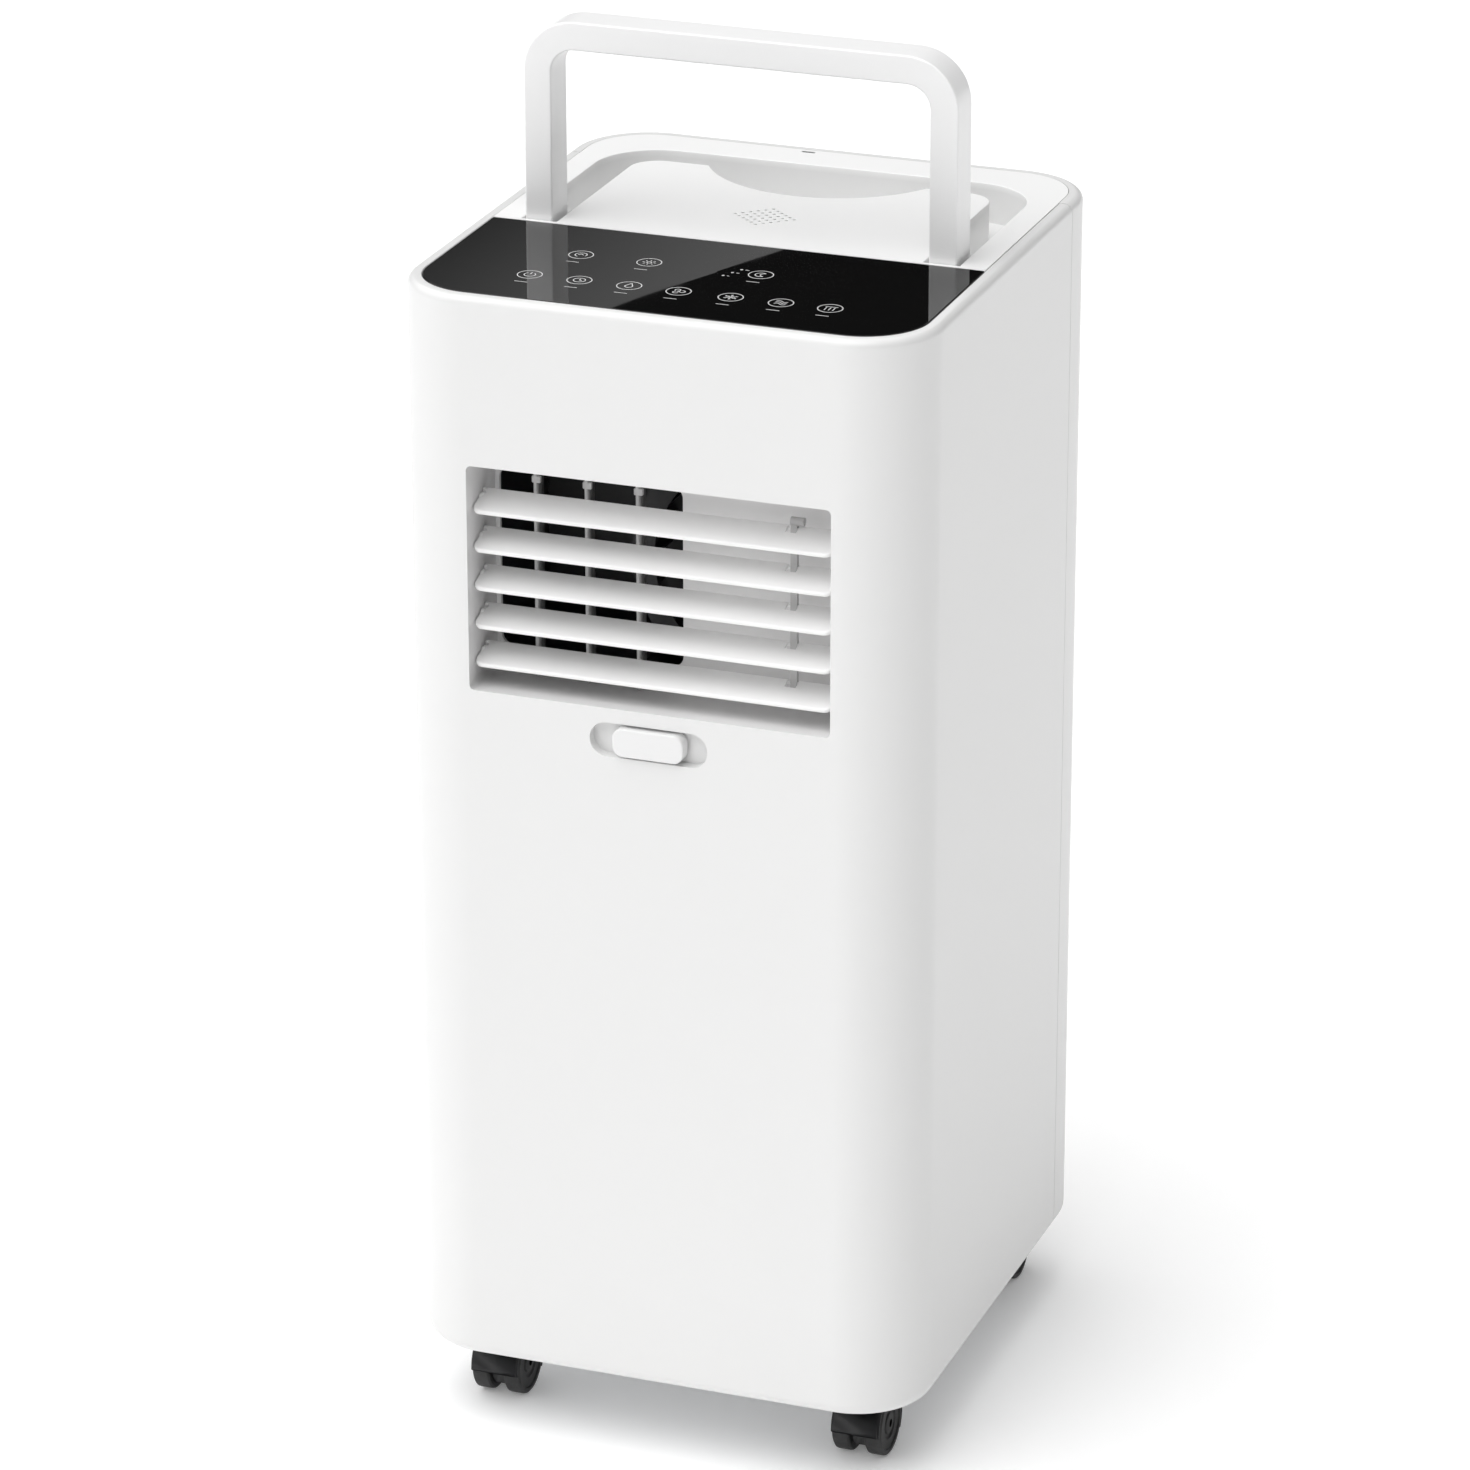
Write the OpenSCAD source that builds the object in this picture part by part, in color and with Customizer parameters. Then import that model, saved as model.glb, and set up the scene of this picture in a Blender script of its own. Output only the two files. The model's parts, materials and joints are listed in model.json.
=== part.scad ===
// Portable air conditioner on casters, with a fold-down carrying handle.
// Frame: origin on the floor under the middle of the case, +X to the user's right,
// -Y out of the front, +Z up. All sizes are in millimetres.

/* [Case] */
// Width across the side walls
body_w = 306; // [300:1:372]
// Depth from the flat front to the flat back
body_d = 330; // [322:1:400]
// Height of the case without its casters
body_h = 640; // [632:1:780]
// Radius of the four upright corners
corner_r = 45; // [37.5:0.5:52]
// Thickness of the moulded walls
wall = 3; // [2.5:0.1:3.6]
// Width of the rim round the top deck
rim_w = 8; // [6.5:0.5:10]
// Radius of the top outer edge
top_edge_r = 5; // [3:0.5:6]
// Radius of the bottom outer edge
bottom_edge_r = 8; // [5:0.5:9]
// Distance from the back face to the seam of the rear cover
seam_inset = 58; // [52:1:70]
// Width of the seam between the two halves of the case
seam_gap = 0.5; // [0.3:0.1:0.8]

/* [Top deck] */
// Depth of the glass control panel, front to back
glass_d = 131; // [110:1:135]
// Thickness of the glass
glass_t = 3; // [2.5:0.1:4]
// Thickness of the deck's moulding
deck_t = 4; // [3:0.5:5]
// Gap between the deck and the rim
deck_gap = 0.4; // [0.2:0.1:0.6]
// Depth of the channel that the handle folds into
channel_depth = 23; // [23:0.5:28]
// Distance from the back face to the channel's back wall
channel_back = 35.5; // [30:0.5:40]
// Radius of the channel's outer back corners
channel_r = 38; // [34:1:40]
// Thickness of the channel's walls and floor
channel_wall = 2.5; // [2:0.1:3]
// Radius of the finger scoop behind the platform
scoop_r = 75; // [68:1:84]
// How far the finger scoop reaches into the platform
scoop_in = 39; // [30:1:42]

/* [Handle] */
// Outer width of the handle
handle_w = 252; // [210:1:256]
// Height of the handle's top above the deck
handle_rise = 115.5; // [114:0.5:117]
// Thickness of the bar, seen from the front
handle_t = 15; // [13:0.5:16]
// Depth of the bar, front to back
handle_d = 23.8; // [20:0.2:24]
// Outer radius of the handle's top corners
handle_r = 29; // [26:1:32]
// Gap between each leg and the channel's sides
leg_gap = 3; // [2.5:0.1:4]
// Gap between the legs and the channel's front wall
leg_front_gap = 1; // [0.8:0.1:1.5]
// Depth of the hinge pins below the deck
pivot_drop = 14.5; // [14.5:0.1:16]
// Distance of the hinge pins from the front of the legs
pivot_back = 16; // [14:0.5:16]
// Radius of the hinge pins
hinge_pin_r = 3.5; // [3:0.1:4]

/* [Air outlet] */
// Width of the outlet in the front
vent_w = 211; // [200:1:214]
// Height of the outlet in the front
vent_h = 131; // [126:1:140]
// Distance from the deck down to the top of the outlet
vent_drop = 96.5; // [85:0.5:110]
// Radius of the outlet's corners
vent_r = 3; // [2:0.5:4]
// Depth from the front face to the back wall of the outlet
vent_depth = 42; // [42:0.5:46]
// Thickness of the outlet housing
vent_wall = 2.2; // [2:0.1:2.6]
// Width of the blower's opening in the back wall
mouth_w = 108; // [100:1:112]
// Height of the blower's opening in the back wall
mouth_h = 106; // [90:1:112]

/* [Louvers] */
// Number of louvers across the outlet
louver_count = 5; // [4:1:5]
// Distance between two louvers
louver_pitch = 22.4; // [21:0.1:23]
// Distance from the outlet's top down to the first pivot
louver_drop = 24.5; // [22:0.5:27]
// Distance of the pivots behind the front face
louver_set = 19; // [18:0.5:20]
// Length of a louver in front of its pivot
louver_front = 12.6; // [11:0.2:13]
// Length of a louver behind its pivot
louver_back = 6.8; // [6.4:0.1:7]
// Thickness of a louver
louver_t = 1.8; // [1.5:0.1:2.2]
// Angle at which the louvers rest, front edge down
louver_tilt = 19; // [0:1:25]
// Gap between a louver's end and the outlet's side
louver_gap = 2; // [1.5:0.1:2.5]
// Distance of the link bar from the middle
link_x = 76; // [60:1:85]
// Distance of the link's pins behind the pivots
link_crank = 6.4; // [6:0.1:6.6]

/* [Air guide] */
// Number of upright vanes
vane_count = 3; // [2:1:3]
// Distance between two vanes
vane_pitch = 30; // [26:1:30]
// Distance of the middle vane from the middle of the case
vane_x = -47; // [-50:1:-44]
// Distance of the vane pivots behind the front face
vane_set = 36; // [35.5:0.5:37]
// Distance from a vane's pivot to its link pin
vane_crank = 24; // [22:0.5:24]
// Travel of the slider knob to each side
knob_travel = 11; // [9:0.5:12]
// Depth of the slider's recess
recess_depth = 6.5; // [6:0.1:7]
// Distance from the outlet's bottom down to the slider
slider_drop = 18.5; // [18:0.5:22]
// Width of the slider knob
knob_w = 44; // [40:1:44]
// Height of the slider knob
knob_h = 16.6; // [15:0.2:17]
// How far the knob stands out of the front face
knob_proud = 3; // [2:0.1:3]

/* [Casters] */
// Height from the floor to the underside of the case
caster_h = 46; // [45:0.5:50]
// Radius of a caster wheel
caster_r = 19; // [17:0.5:19]
// Width across the two wheels of a caster
caster_w = 34; // [32:1:36]
// Distance of the swivel stems from the case's middle
caster_x = 111; // [100:1:112]
// Distance of the front stems from the front face
caster_front = 40; // [38:1:48]
// Distance of the rear stems from the back face
caster_rear = 50; // [46:1:56]
// Distance of a wheel's axle behind its stem
caster_trail = 13; // [11:1:14]
// Radius of a swivel stem
stem_r = 4; // [3.5:0.5:5]
// Radius of a wheel's axle
axle_r = 2.5; // [2:0.1:3]

/* [Back] */
// Inner radius of the exhaust port
port_r = 62; // [58:1:62]
// Distance of the exhaust port to the left of the middle
port_x = -45; // [-47:1:-43]
// How far the exhaust port stands out of the back face
port_proud = 3; // [2:0.1:3]
// Width of the two intakes
intake_w = 216; // [200:2:220]
// Height of the upper intake
intake_upper_h = 196; // [160:2:200]
// Height of the lower intake
intake_lower_h = 166; // [140:2:170]
// Thickness of a filter frame
filter_t = 11; // [9:0.5:12]

/* [Cooling system] */
// Distance from the deck down to the top of the middle partition
partition_drop = 248; // [244:1:252]
// Height of the middle partition's walls
partition_h = 20; // [18:1:20]
// Thickness of a heat exchanger
coil_t = 44; // [38:1:46]
// Radius of the compressor's shell
compressor_r = 58; // [50:1:60]
// Height of the compressor
compressor_h = 196; // [180:1:210]
// Radius of the upper fan
fan_r = 74; // [66:1:76]
// Radius of the lower fan
lower_fan_r = 68; // [60:1:70]
// Thickness of the fan housings
scroll_wall = 2.5; // [2:0.1:3]

/* [Fits] */
// Radial clearance of a pin that turns in a bore
running = 0.06; // [0.03:0.01:0.09]
// Clearance round a piece that is lifted or slid by hand
hand_fit = 0.4; // [0.3:0.1:0.6]

/* [Hidden] */
$fn = 64;
eps = 1;
caster_names = ["front_left", "front_right", "rear_left", "rear_right"];

z_low = caster_h;
z_top = caster_h + body_h;
y_front = -body_d / 2;
y_back = body_d / 2;
x_side = body_w / 2;
seam_y = y_back - seam_inset;

// Top deck
rim_t = glass_t + deck_t;
ledge_t = 4;
ledge_w = rim_w + 6;
deck_w = body_w - 2 * (rim_w + deck_gap);
deck_d = body_d - 2 * (rim_w + deck_gap);
deck_r = corner_r - rim_w - deck_gap;
glass_back = y_front + rim_w + deck_gap + glass_d;
channel_w = handle_t + 2 * leg_gap;
channel_x = handle_w / 2 + leg_gap;
leg_y = glass_back + 1 + channel_wall + leg_front_gap;
channel_front = leg_y - leg_front_gap;
channel_end = y_back - channel_back;
channel_z = z_top - channel_depth;

// Handle
handle_top = z_top + handle_rise;
pivot_y = leg_y + pivot_back;
pivot_z = z_top - pivot_drop;
foot_r = handle_d - pivot_back;

// Air outlet
vent_top = z_top - vent_drop;
vent_low = vent_top - vent_h;
vent_z = vent_top - vent_h / 2;
vent_back = y_front + vent_depth;
mouth_x = -vent_w / 2 + mouth_w / 2 + 2.5;
mouth_z = vent_top - 13 - mouth_h / 2;
mouth_r = 7;
pivot_pin_r = 1.2;
link_pin_r = 1;
vane_pin_r = 1.5;
louver_y = y_front + louver_set;
vane_y = y_front + vane_set;
slider_z = vent_low - slider_drop;
recess_w = knob_w + 2 * knob_travel + 3;
recess_h = knob_h + 3.4;
knob_r = recess_h / 2 - 5;
recess_y = y_front + recess_depth;
recess_t = 2;
arm_t = 2.5;
arm_z = vent_low - vent_wall - 0.5 - arm_t;
link_bar_z = arm_z - 0.5 - 3;
stem_w = 14;

// Casters
wheel_in = 4.5;

// Cooling system
partition_z = z_top - partition_drop;
partition_low = partition_z - partition_h;
base_t = 4;
base_floor = z_low + base_t;
filter_y = y_back - filter_t;
coil_y = filter_y - 4 - coil_t;
coil_w = body_w - 62;
intake_upper_z = z_top - 46 - intake_upper_h / 2;
intake_lower_z = z_low + 34 + intake_lower_h / 2;
port_z = partition_low - port_r - 11;
condenser_low = base_floor + 20;
condenser_top = base_floor + 206;
fan_x = x_side - 108;
fan_z = partition_z + 92;
upper_scroll_r = fan_r + 18;
upper_scroll_y = vent_back + vent_wall;
upper_scroll_end = upper_scroll_y + 76;
lower_fan_x = x_side - 105;
lower_scroll_r = lower_fan_r + 18;
lower_fan_z = partition_low - lower_scroll_r - 2;
lower_scroll_y = -5;
lower_scroll_d = 75;
compressor_x = -x_side + 90;
compressor_y = y_front + 104;
feet_h = 12;
accumulator_x = -x_side + 35;
accumulator_y = 12;
pipe_r = 4;
splash_x = x_side - 75;
splash_z = base_floor + 32;
splash_r = 24;

// Electrical box
box_w = 100;
box_x = x_side - corner_r - box_w;
box_y = y_front + wall;
box_d = 52;
box_z = z_low + 204;
box_h = 130;

// Back of the case
gland_x = x_side - 58;
gland_z = port_z - 30;
drain_x = x_side - 80;
drain_r = 5;
upper_drain_z = partition_low + 9;
lower_drain_z = base_floor + 12;
screw_spots = [for (side = [-1, 1], z = [base_floor + 12, partition_low + 10]) [side * (x_side - 58), z]];

function caster_at(i) = [
    (i % 2 == 0 ? -1 : 1) * caster_x,
    i < 2 ? y_front + caster_front : y_back - caster_rear
];

// ---- shared shapes ----

module block(lo, hi) {
    translate(lo) cube(hi - lo);
}

module rod_x(x0, x1, y, z, r) {
    translate([x0, y, z]) rotate([0, 90, 0]) cylinder(h = x1 - x0, r = r);
}

module rod_y(y0, y1, x, z, r) {
    translate([x, y1, z]) rotate([90, 0, 0]) cylinder(h = y1 - y0, r = r);
}

module rod_z(z0, z1, x, y, r) {
    translate([x, y, z0]) cylinder(h = z1 - z0, r = r);
}

// Rectangle with round corners, centred
module round_rect(w, d, r) {
    square([w - 2 * r, d], center = true);
    square([w, d - 2 * r], center = true);
    for (x = [-1, 1], y = [-1, 1])
        translate([x * (w / 2 - r), y * (d / 2 - r)]) circle(r);
}

// Round-cornered prism that runs along Y
module plate_y(y0, y1, x, z, w, h, r) {
    translate([x, y1, z]) rotate([90, 0, 0]) linear_extrude(y1 - y0) round_rect(w, h, r);
}

// A profile carried round a rounded rectangle; its x is measured out from the corner's centre
module swept_wall(w, d, r) {
    for (turn = [0 : 3]) {
        along = turn % 2 == 0 ? w : d;
        across = turn % 2 == 0 ? d : w;
        rotate([0, 0, 90 * turn]) translate([along / 2 - r, across / 2 - r, 0]) {
            rotate_extrude(angle = 90) children();
            rotate([90, 0, 0]) linear_extrude(across - 2 * r) children();
        }
    }
}

// ---- case ----

module edge_cut(r) {
    difference() {
        square(r + eps);
        circle(r);
    }
}

module case_profile() {
    difference() {
        union() {
            translate([corner_r - wall, z_low]) square([wall, body_h]);
            translate([corner_r - rim_w, z_top - rim_t - ledge_t]) square([rim_w, rim_t + ledge_t]);
            translate([corner_r - ledge_w, z_top - rim_t - ledge_t]) square([ledge_w, ledge_t]);
            translate([corner_r - bottom_edge_r, z_low]) square(bottom_edge_r);
        }
        translate([corner_r - top_edge_r, z_top - top_edge_r]) edge_cut(top_edge_r);
        translate([corner_r - bottom_edge_r, z_low + bottom_edge_r]) mirror([0, 1]) edge_cut(bottom_edge_r);
    }
}

module case_ring() {
    swept_wall(body_w, body_d, corner_r) case_profile();
}

module stadium_y(y0, y1, x, z, w, h) {
    translate([x, y1, z]) rotate([90, 0, 0]) linear_extrude(y1 - y0) {
        square([w - h, h], center = true);
        for (side = [-1, 1]) translate([side * (w - h) / 2, 0]) circle(h / 2);
    }
}

module front_shell() {
    color("white") difference() {
        union() {
            intersection() {
                case_ring();
                block([-body_w, y_front - eps, 0], [body_w, seam_y, z_top + eps]);
            }
            stadium_y(y_front + wall / 2, recess_y + recess_t, 0, slider_z, recess_w + 4, recess_h + 4);
        }
        plate_y(y_front - eps, y_front + wall + eps, 0, vent_z, vent_w, vent_h, vent_r);
        stadium_y(y_front - eps, recess_y, 0, slider_z, recess_w, recess_h);
        plate_y(y_front, recess_y + recess_t + eps, 0, slider_z, stem_w + 2 * knob_travel + 2, 7, 2);
    }
}

// Turned-in wall round an opening of the rear cover
module intake_frame(z, h) {
    plate_y(filter_y - wall, y_back, 0, z, intake_w + 2 * wall, h + 2 * wall, 6);
}

module intake_cut(z, h) {
    plate_y(filter_y, y_back + eps, 0, z, intake_w, h, 4);
    plate_y(filter_y - wall - eps, y_back, 0, z, intake_w - 12, h - 12, 4);
}

module rear_cover() {
    tab_t = 2;
    tab_l = 10;
    tab_spans = [[z_low + 60, partition_low - 30], [partition_z + 30, z_top - 40]];
    color("white") difference() {
        union() {
            intersection() {
                case_ring();
                block([-body_w, seam_y + seam_gap, 0], [body_w, y_back + eps, z_top + eps]);
            }
            intake_frame(intake_upper_z, intake_upper_h);
            intake_frame(intake_lower_z, intake_lower_h);
            for (side = [-1, 1], span = tab_spans) {
                x = side * (x_side - wall - tab_t / 2);
                block([x - tab_t / 2, seam_y - tab_l, span[0]], [x + tab_t / 2, seam_y + tab_l, span[1]]);
            }
        }
        intake_cut(intake_upper_z, intake_upper_h);
        intake_cut(intake_lower_z, intake_lower_h);
        rod_y(y_back - wall - eps, y_back + eps, port_x, port_z, port_r + 4);
        rod_y(y_back - wall - eps, y_back + eps, gland_x, gland_z, 8);
        rod_y(y_back - wall - eps, y_back + eps, drain_x, upper_drain_z, 8);
        rod_y(y_back - wall - eps, y_back + eps, drain_x, lower_drain_z, 8);
        for (at = screw_spots) {
            rod_y(y_back - wall - eps, y_back + eps, at[0], at[1], 2);
            rod_y(y_back - 1.8, y_back + eps, at[0], at[1], 4);
        }
    }
}

// ---- top deck ----

module deck_outline(inset) {
    round_rect(deck_w - 2 * inset, deck_d - 2 * inset, deck_r - inset);
}

// Channel's outer outline, grown by a wall
module channel_outline(grow) {
    r = channel_r + grow;
    x = channel_x + grow;
    y = channel_end + grow;
    y0 = channel_front - grow;
    translate([-x, y0]) square([2 * x, y - r - y0]);
    translate([-x + r, y0]) square([2 * (x - r), y - y0]);
    for (side = [-1, 1]) translate([side * (x - r), y - r]) circle(r);
}

// Platform inside the channel, cut back by the finger scoop
module platform_outline(shrink) {
    x = channel_x - channel_w - shrink;
    y = channel_end - channel_w - shrink;
    y0 = channel_front - channel_w;
    r = channel_r - channel_w - shrink;
    difference() {
        union() {
            translate([-x, y0]) square([2 * x, y - r - y0]);
            translate([-x + r, y0]) square([2 * (x - r), y - y0]);
            for (side = [-1, 1]) translate([side * (x - r), y - r]) circle(r);
        }
        translate([0, channel_end - channel_w - scoop_in + scoop_r]) circle(scoop_r + shrink);
    }
}

module top_deck() {
    hole_pitch = 5;
    pin_end = channel_x + channel_wall + eps;
    color("white") difference() {
        union() {
            intersection() {
                union() {
                    translate([0, 0, z_top - deck_t]) linear_extrude(deck_t) deck_outline(0);
                    translate([0, 0, z_top - rim_t]) linear_extrude(rim_t) difference() {
                        deck_outline(0);
                        deck_outline(4);
                    }
                }
                block([-body_w, glass_back + deck_gap, 0], [body_w, y_back, z_top + eps]);
            }
            intersection() {
                translate([0, 0, z_top - rim_t]) linear_extrude(deck_t) deck_outline(0);
                block([-body_w, y_front, 0], [body_w, glass_back + deck_gap + 2, z_top]);
            }
            translate([0, 0, channel_z - channel_wall]) linear_extrude(channel_depth + channel_wall - eps)
                difference() {
                    channel_outline(channel_wall);
                    platform_outline(channel_wall);
                }
        }
        translate([0, 0, channel_z]) linear_extrude(channel_depth + eps) difference() {
            channel_outline(0);
            platform_outline(0);
        }
        rod_x(-pin_end, pin_end, pivot_y, pivot_z, hinge_pin_r);
        for (i = [0 : 5], j = [0 : 5])
            rod_z(z_top - deck_t - eps, z_top + eps, (i - j) * 0.7 * hole_pitch - 2,
                channel_end - channel_w - 82 + (i + j - 5) * 0.6 * hole_pitch, 0.7);
        block([-25, y_back - rim_w - deck_gap - 2.2, z_top - 2], [-17, y_back, z_top + eps]);
    }
}

module control_glass() {
    color("black") translate([0, 0, z_top - glass_t]) linear_extrude(glass_t) intersection() {
        deck_outline(0);
        translate([-body_w, y_front]) square([2 * body_w, glass_back - y_front]);
    }
}

module display_board() {
    board_t = 1.6;
    z = z_top - rim_t - board_t;
    color("darkgreen") {
        block([-115, y_front + ledge_w + 10, z], [115, glass_back - 12, z + board_t]);
        for (i = [0 : 6]) rod_z(z - 4, z, (i - 3) * 29, y_front + 49, 4);
        block([-30, y_front + 90, z - 6], [30, y_front + 104, z]);
    }
}

// ---- handle ----

module handle() {
    leg_x = handle_w / 2;
    half = handle_t / 2;
    corner_z = handle_top - handle_r;
    leg_end = leg_y + handle_d;
    color("white") difference() {
        union() {
            for (side = [-1, 1]) {
                x = side * (leg_x - half);
                block([x - half, leg_y, pivot_z], [x + half, leg_end, corner_z]);
                rod_x(x - half, x + half, pivot_y, pivot_z, foot_r);
            }
            block([-leg_x + handle_r, leg_y, handle_top - handle_t], [leg_x - handle_r, leg_end, handle_top]);
            for (side = [-1, 1])
                translate([side * (leg_x - handle_r), leg_end, corner_z])
                    rotate([90, 0, 0]) linear_extrude(handle_d) handle_corner(side);
        }
        rod_x(-leg_x - eps, leg_x + eps, pivot_y, pivot_z, hinge_pin_r + running);
    }
}

module handle_corner(side) {
    intersection() {
        difference() {
            circle(handle_r);
            circle(handle_r - handle_t);
        }
        translate([side > 0 ? 0 : -handle_r, 0]) square(handle_r);
    }
}

module handle_pins() {
    color("silver") for (side = [-1, 1]) {
        x = side * (channel_x - channel_w / 2);
        half = channel_w / 2 + channel_wall;
        rod_x(x - half, x + half, pivot_y, pivot_z, hinge_pin_r);
    }
}

// ---- air outlet ----

function louver_z(i) = vent_top - louver_drop - (i - 1) * louver_pitch;
function vane_at(i) = vane_x + (i - (vane_count + 1) / 2) * vane_pitch;

module outlet_housing() {
    lip = 5;
    y0 = y_front + wall;
    y1 = vent_back + vent_wall;
    notch = [[vane_at(1) - 30, y_front, vent_low - lip - eps], [stem_w + knob_travel, y0 + 3, arm_z + 3.2]];
    color("gainsboro") difference() {
        union() {
            plate_y(y0, y1, 0, vent_z, vent_w + 2 * vent_wall, vent_h + 2 * vent_wall, vent_r + vent_wall);
            plate_y(y0, y0 + 2, 0, vent_z, 2 * (x_side - corner_r), vent_h + 2 * lip, vent_r + lip);
        }
        plate_y(y_front, vent_back, 0, vent_z, vent_w, vent_h, vent_r);
        plate_y(vent_back - eps, y1 + eps, mouth_x, mouth_z, mouth_w, mouth_h, mouth_r);
        for (i = [1 : louver_count])
            rod_x(-vent_w, vent_w, louver_y, louver_z(i), pivot_pin_r + running);
        for (i = [1 : vane_count])
            rod_z(vent_low - lip, vent_top + lip, vane_at(i), vane_y, vane_pin_r + running);
        stadium_y(y_front, recess_y + recess_t + 0.5, 0, slider_z, recess_w + 5, recess_h + 5);
        block(notch[0], notch[1]);
    }
}

module louver(i) {
    half = vent_w / 2 - louver_gap;
    chord = louver_front + louver_back;
    nose_r = 1.4;
    pin_l = 1 + louver_gap + vent_wall - 0.4;
    color("whitesmoke") translate([0, louver_y, louver_z(i)]) rotate([louver_tilt, 0, 0]) {
        difference() {
            union() {
                translate([0, (louver_back - louver_front) / 2, -louver_t / 2])
                    linear_extrude(louver_t) round_rect(2 * half, chord, 3);
                rod_x(-half + 3, half - 3, -louver_front + nose_r, 0, nose_r);
                for (side = [-1, 1]) {
                    translate([side * (half - 3), -louver_front + nose_r, 0]) sphere(nose_r);
                    rod_x(side * (half - 1) - 1, side * (half - 1) + 1, 0, 0, 2);
                }
                rod_x(link_x - 7, link_x + 7, link_crank, 0, 1.9);
            }
            block([link_x - 4.5, 1.6, -4], [link_x + 4.5, louver_back + 4, 4]);
        }
        rod_x(link_x - 5, link_x + 5, link_crank, 0, link_pin_r);
        for (side = [-1, 1]) {
            middle = side * (half - 1 + pin_l / 2);
            rod_x(middle - pin_l / 2, middle + pin_l / 2, 0, 0, pivot_pin_r);
        }
    }
}

module louver_link() {
    bar_x = 4;
    bar_y = 4.6;
    y = louver_y + link_crank * cos(louver_tilt);
    dz = link_crank * sin(louver_tilt);
    top = louver_z(1) + dz + 8;
    low = louver_z(louver_count) + dz - 5;
    color("gainsboro") difference() {
        union() {
            block([link_x - bar_x / 2, y - bar_y / 2, low], [link_x + bar_x / 2, y + bar_y / 2, top]);
            block([link_x - bar_x / 2, y - bar_y / 2 - 4, top - 3], [link_x + bar_x / 2, y, top]);
        }
        for (i = [1 : louver_count])
            rod_x(link_x - bar_x, link_x + bar_x, y, louver_z(i) + dz, link_pin_r + running);
    }
}

module vane(i) {
    fork = 2;
    color("silver") translate([vane_at(i), vane_y, 0]) difference() {
        union() {
            block([-1, -6.5, vent_low + 0.8], [1, 5, vent_top - 0.8]);
            block([-2, -6.5, vent_top - 9], [3.2, -4, vent_top - 5]);
            rod_z(arm_z, vent_top + vent_wall - 0.4, 0, 0, vane_pin_r);
            block([-4, -vane_crank - 3.5, arm_z], [4, 3, arm_z + arm_t]);
        }
        block([-fork, -vane_crank - 4.5, arm_z - eps], [fork, -vane_crank + fork, arm_z + arm_t + eps]);
    }
}

module vane_link() {
    y = vane_y - vane_crank;
    color("gray") {
        block([vane_at(1) - 4, y - 2.5, link_bar_z], [stem_w / 2, y + 2.5, link_bar_z + 3]);
        block([-stem_w / 2, y - 2.5, slider_z - 2.5], [stem_w / 2, y + 2.5, link_bar_z]);
        for (i = [1 : vane_count]) rod_z(link_bar_z + 2, arm_z + arm_t, vane_at(i), y, vane_pin_r);
    }
}

module slider_knob() {
    y_cap = recess_y - 0.7;
    half = stem_w / 2;
    color("white") {
        plate_y(y_front - knob_proud + 1, y_cap, 0, slider_z, knob_w, knob_h, knob_r);
        plate_y(y_front - knob_proud, y_front, 0, slider_z, knob_w - 2, knob_h - 2, knob_r - 1);
        block([-half, y_cap - 1, slider_z - 2.5], [half, vane_y - vane_crank - 2.5, slider_z + 2.5]);
    }
}

// ---- casters ----

module caster_fork(i) {
    at = caster_at(i);
    web = 4;
    hood_r = caster_r + 0.8;
    hood_t = 2.2;
    color("black") translate([at[0], at[1], 0]) difference() {
        union() {
            rod_x(-web, web, caster_trail, caster_r, caster_r - 4);
            rod_z(caster_r, caster_h - 0.6, 0, caster_trail / 4, 4);
            translate([-caster_w / 2 + 0.5, caster_trail, caster_r]) rotate([0, 90, 0])
                linear_extrude(caster_w - 1) hood_profile(hood_r, hood_t);
            rod_z(hood_r + caster_r - 1, caster_h - 0.6, 0, 0, 11);
            rod_z(caster_h - 1, base_floor + 16, 0, 0, stem_r);
        }
        rod_x(-caster_w, caster_w, caster_trail, caster_r, axle_r + running);
        for (side = [-1, 1]) {
            middle = side * (web + caster_w / 2) / 2;
            half = (caster_w / 2 - web) / 2;
            rod_x(middle - half, middle + half, caster_trail, caster_r, hood_r);
        }
    }
}

// Arc over the top of the wheels; x runs down and y runs back in this drawing
module hood_profile(r, t) {
    intersection() {
        difference() {
            circle(r + t);
            circle(r);
        }
        polygon([[6, -r - 6], [0, 0], [-6, r + 6], [-r - 6, r + 6], [-r - 6, -r - 6]]);
    }
}

module caster_wheels(i) {
    at = caster_at(i);
    color("dimgray") translate([at[0], at[1], 0]) {
        for (side = [-1, 1]) {
            x = side * (wheel_in + caster_w / 2) / 2;
            half = (caster_w / 2 - wheel_in) / 2;
            dish = x + side * (half - 1);
            difference() {
                union() {
                    rod_x(x - half + 0.8, x + half - 0.8, caster_trail, caster_r, caster_r);
                    rod_x(x - half, x + half, caster_trail, caster_r, caster_r - 1.5);
                }
                rod_x(dish - 2, dish + 2, caster_trail, caster_r, 0.55 * caster_r);
            }
        }
        rod_x(-caster_w / 2 + 3, caster_w / 2 - 3, caster_trail, caster_r, axle_r);
    }
}

// ---- base and partition ----

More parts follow.
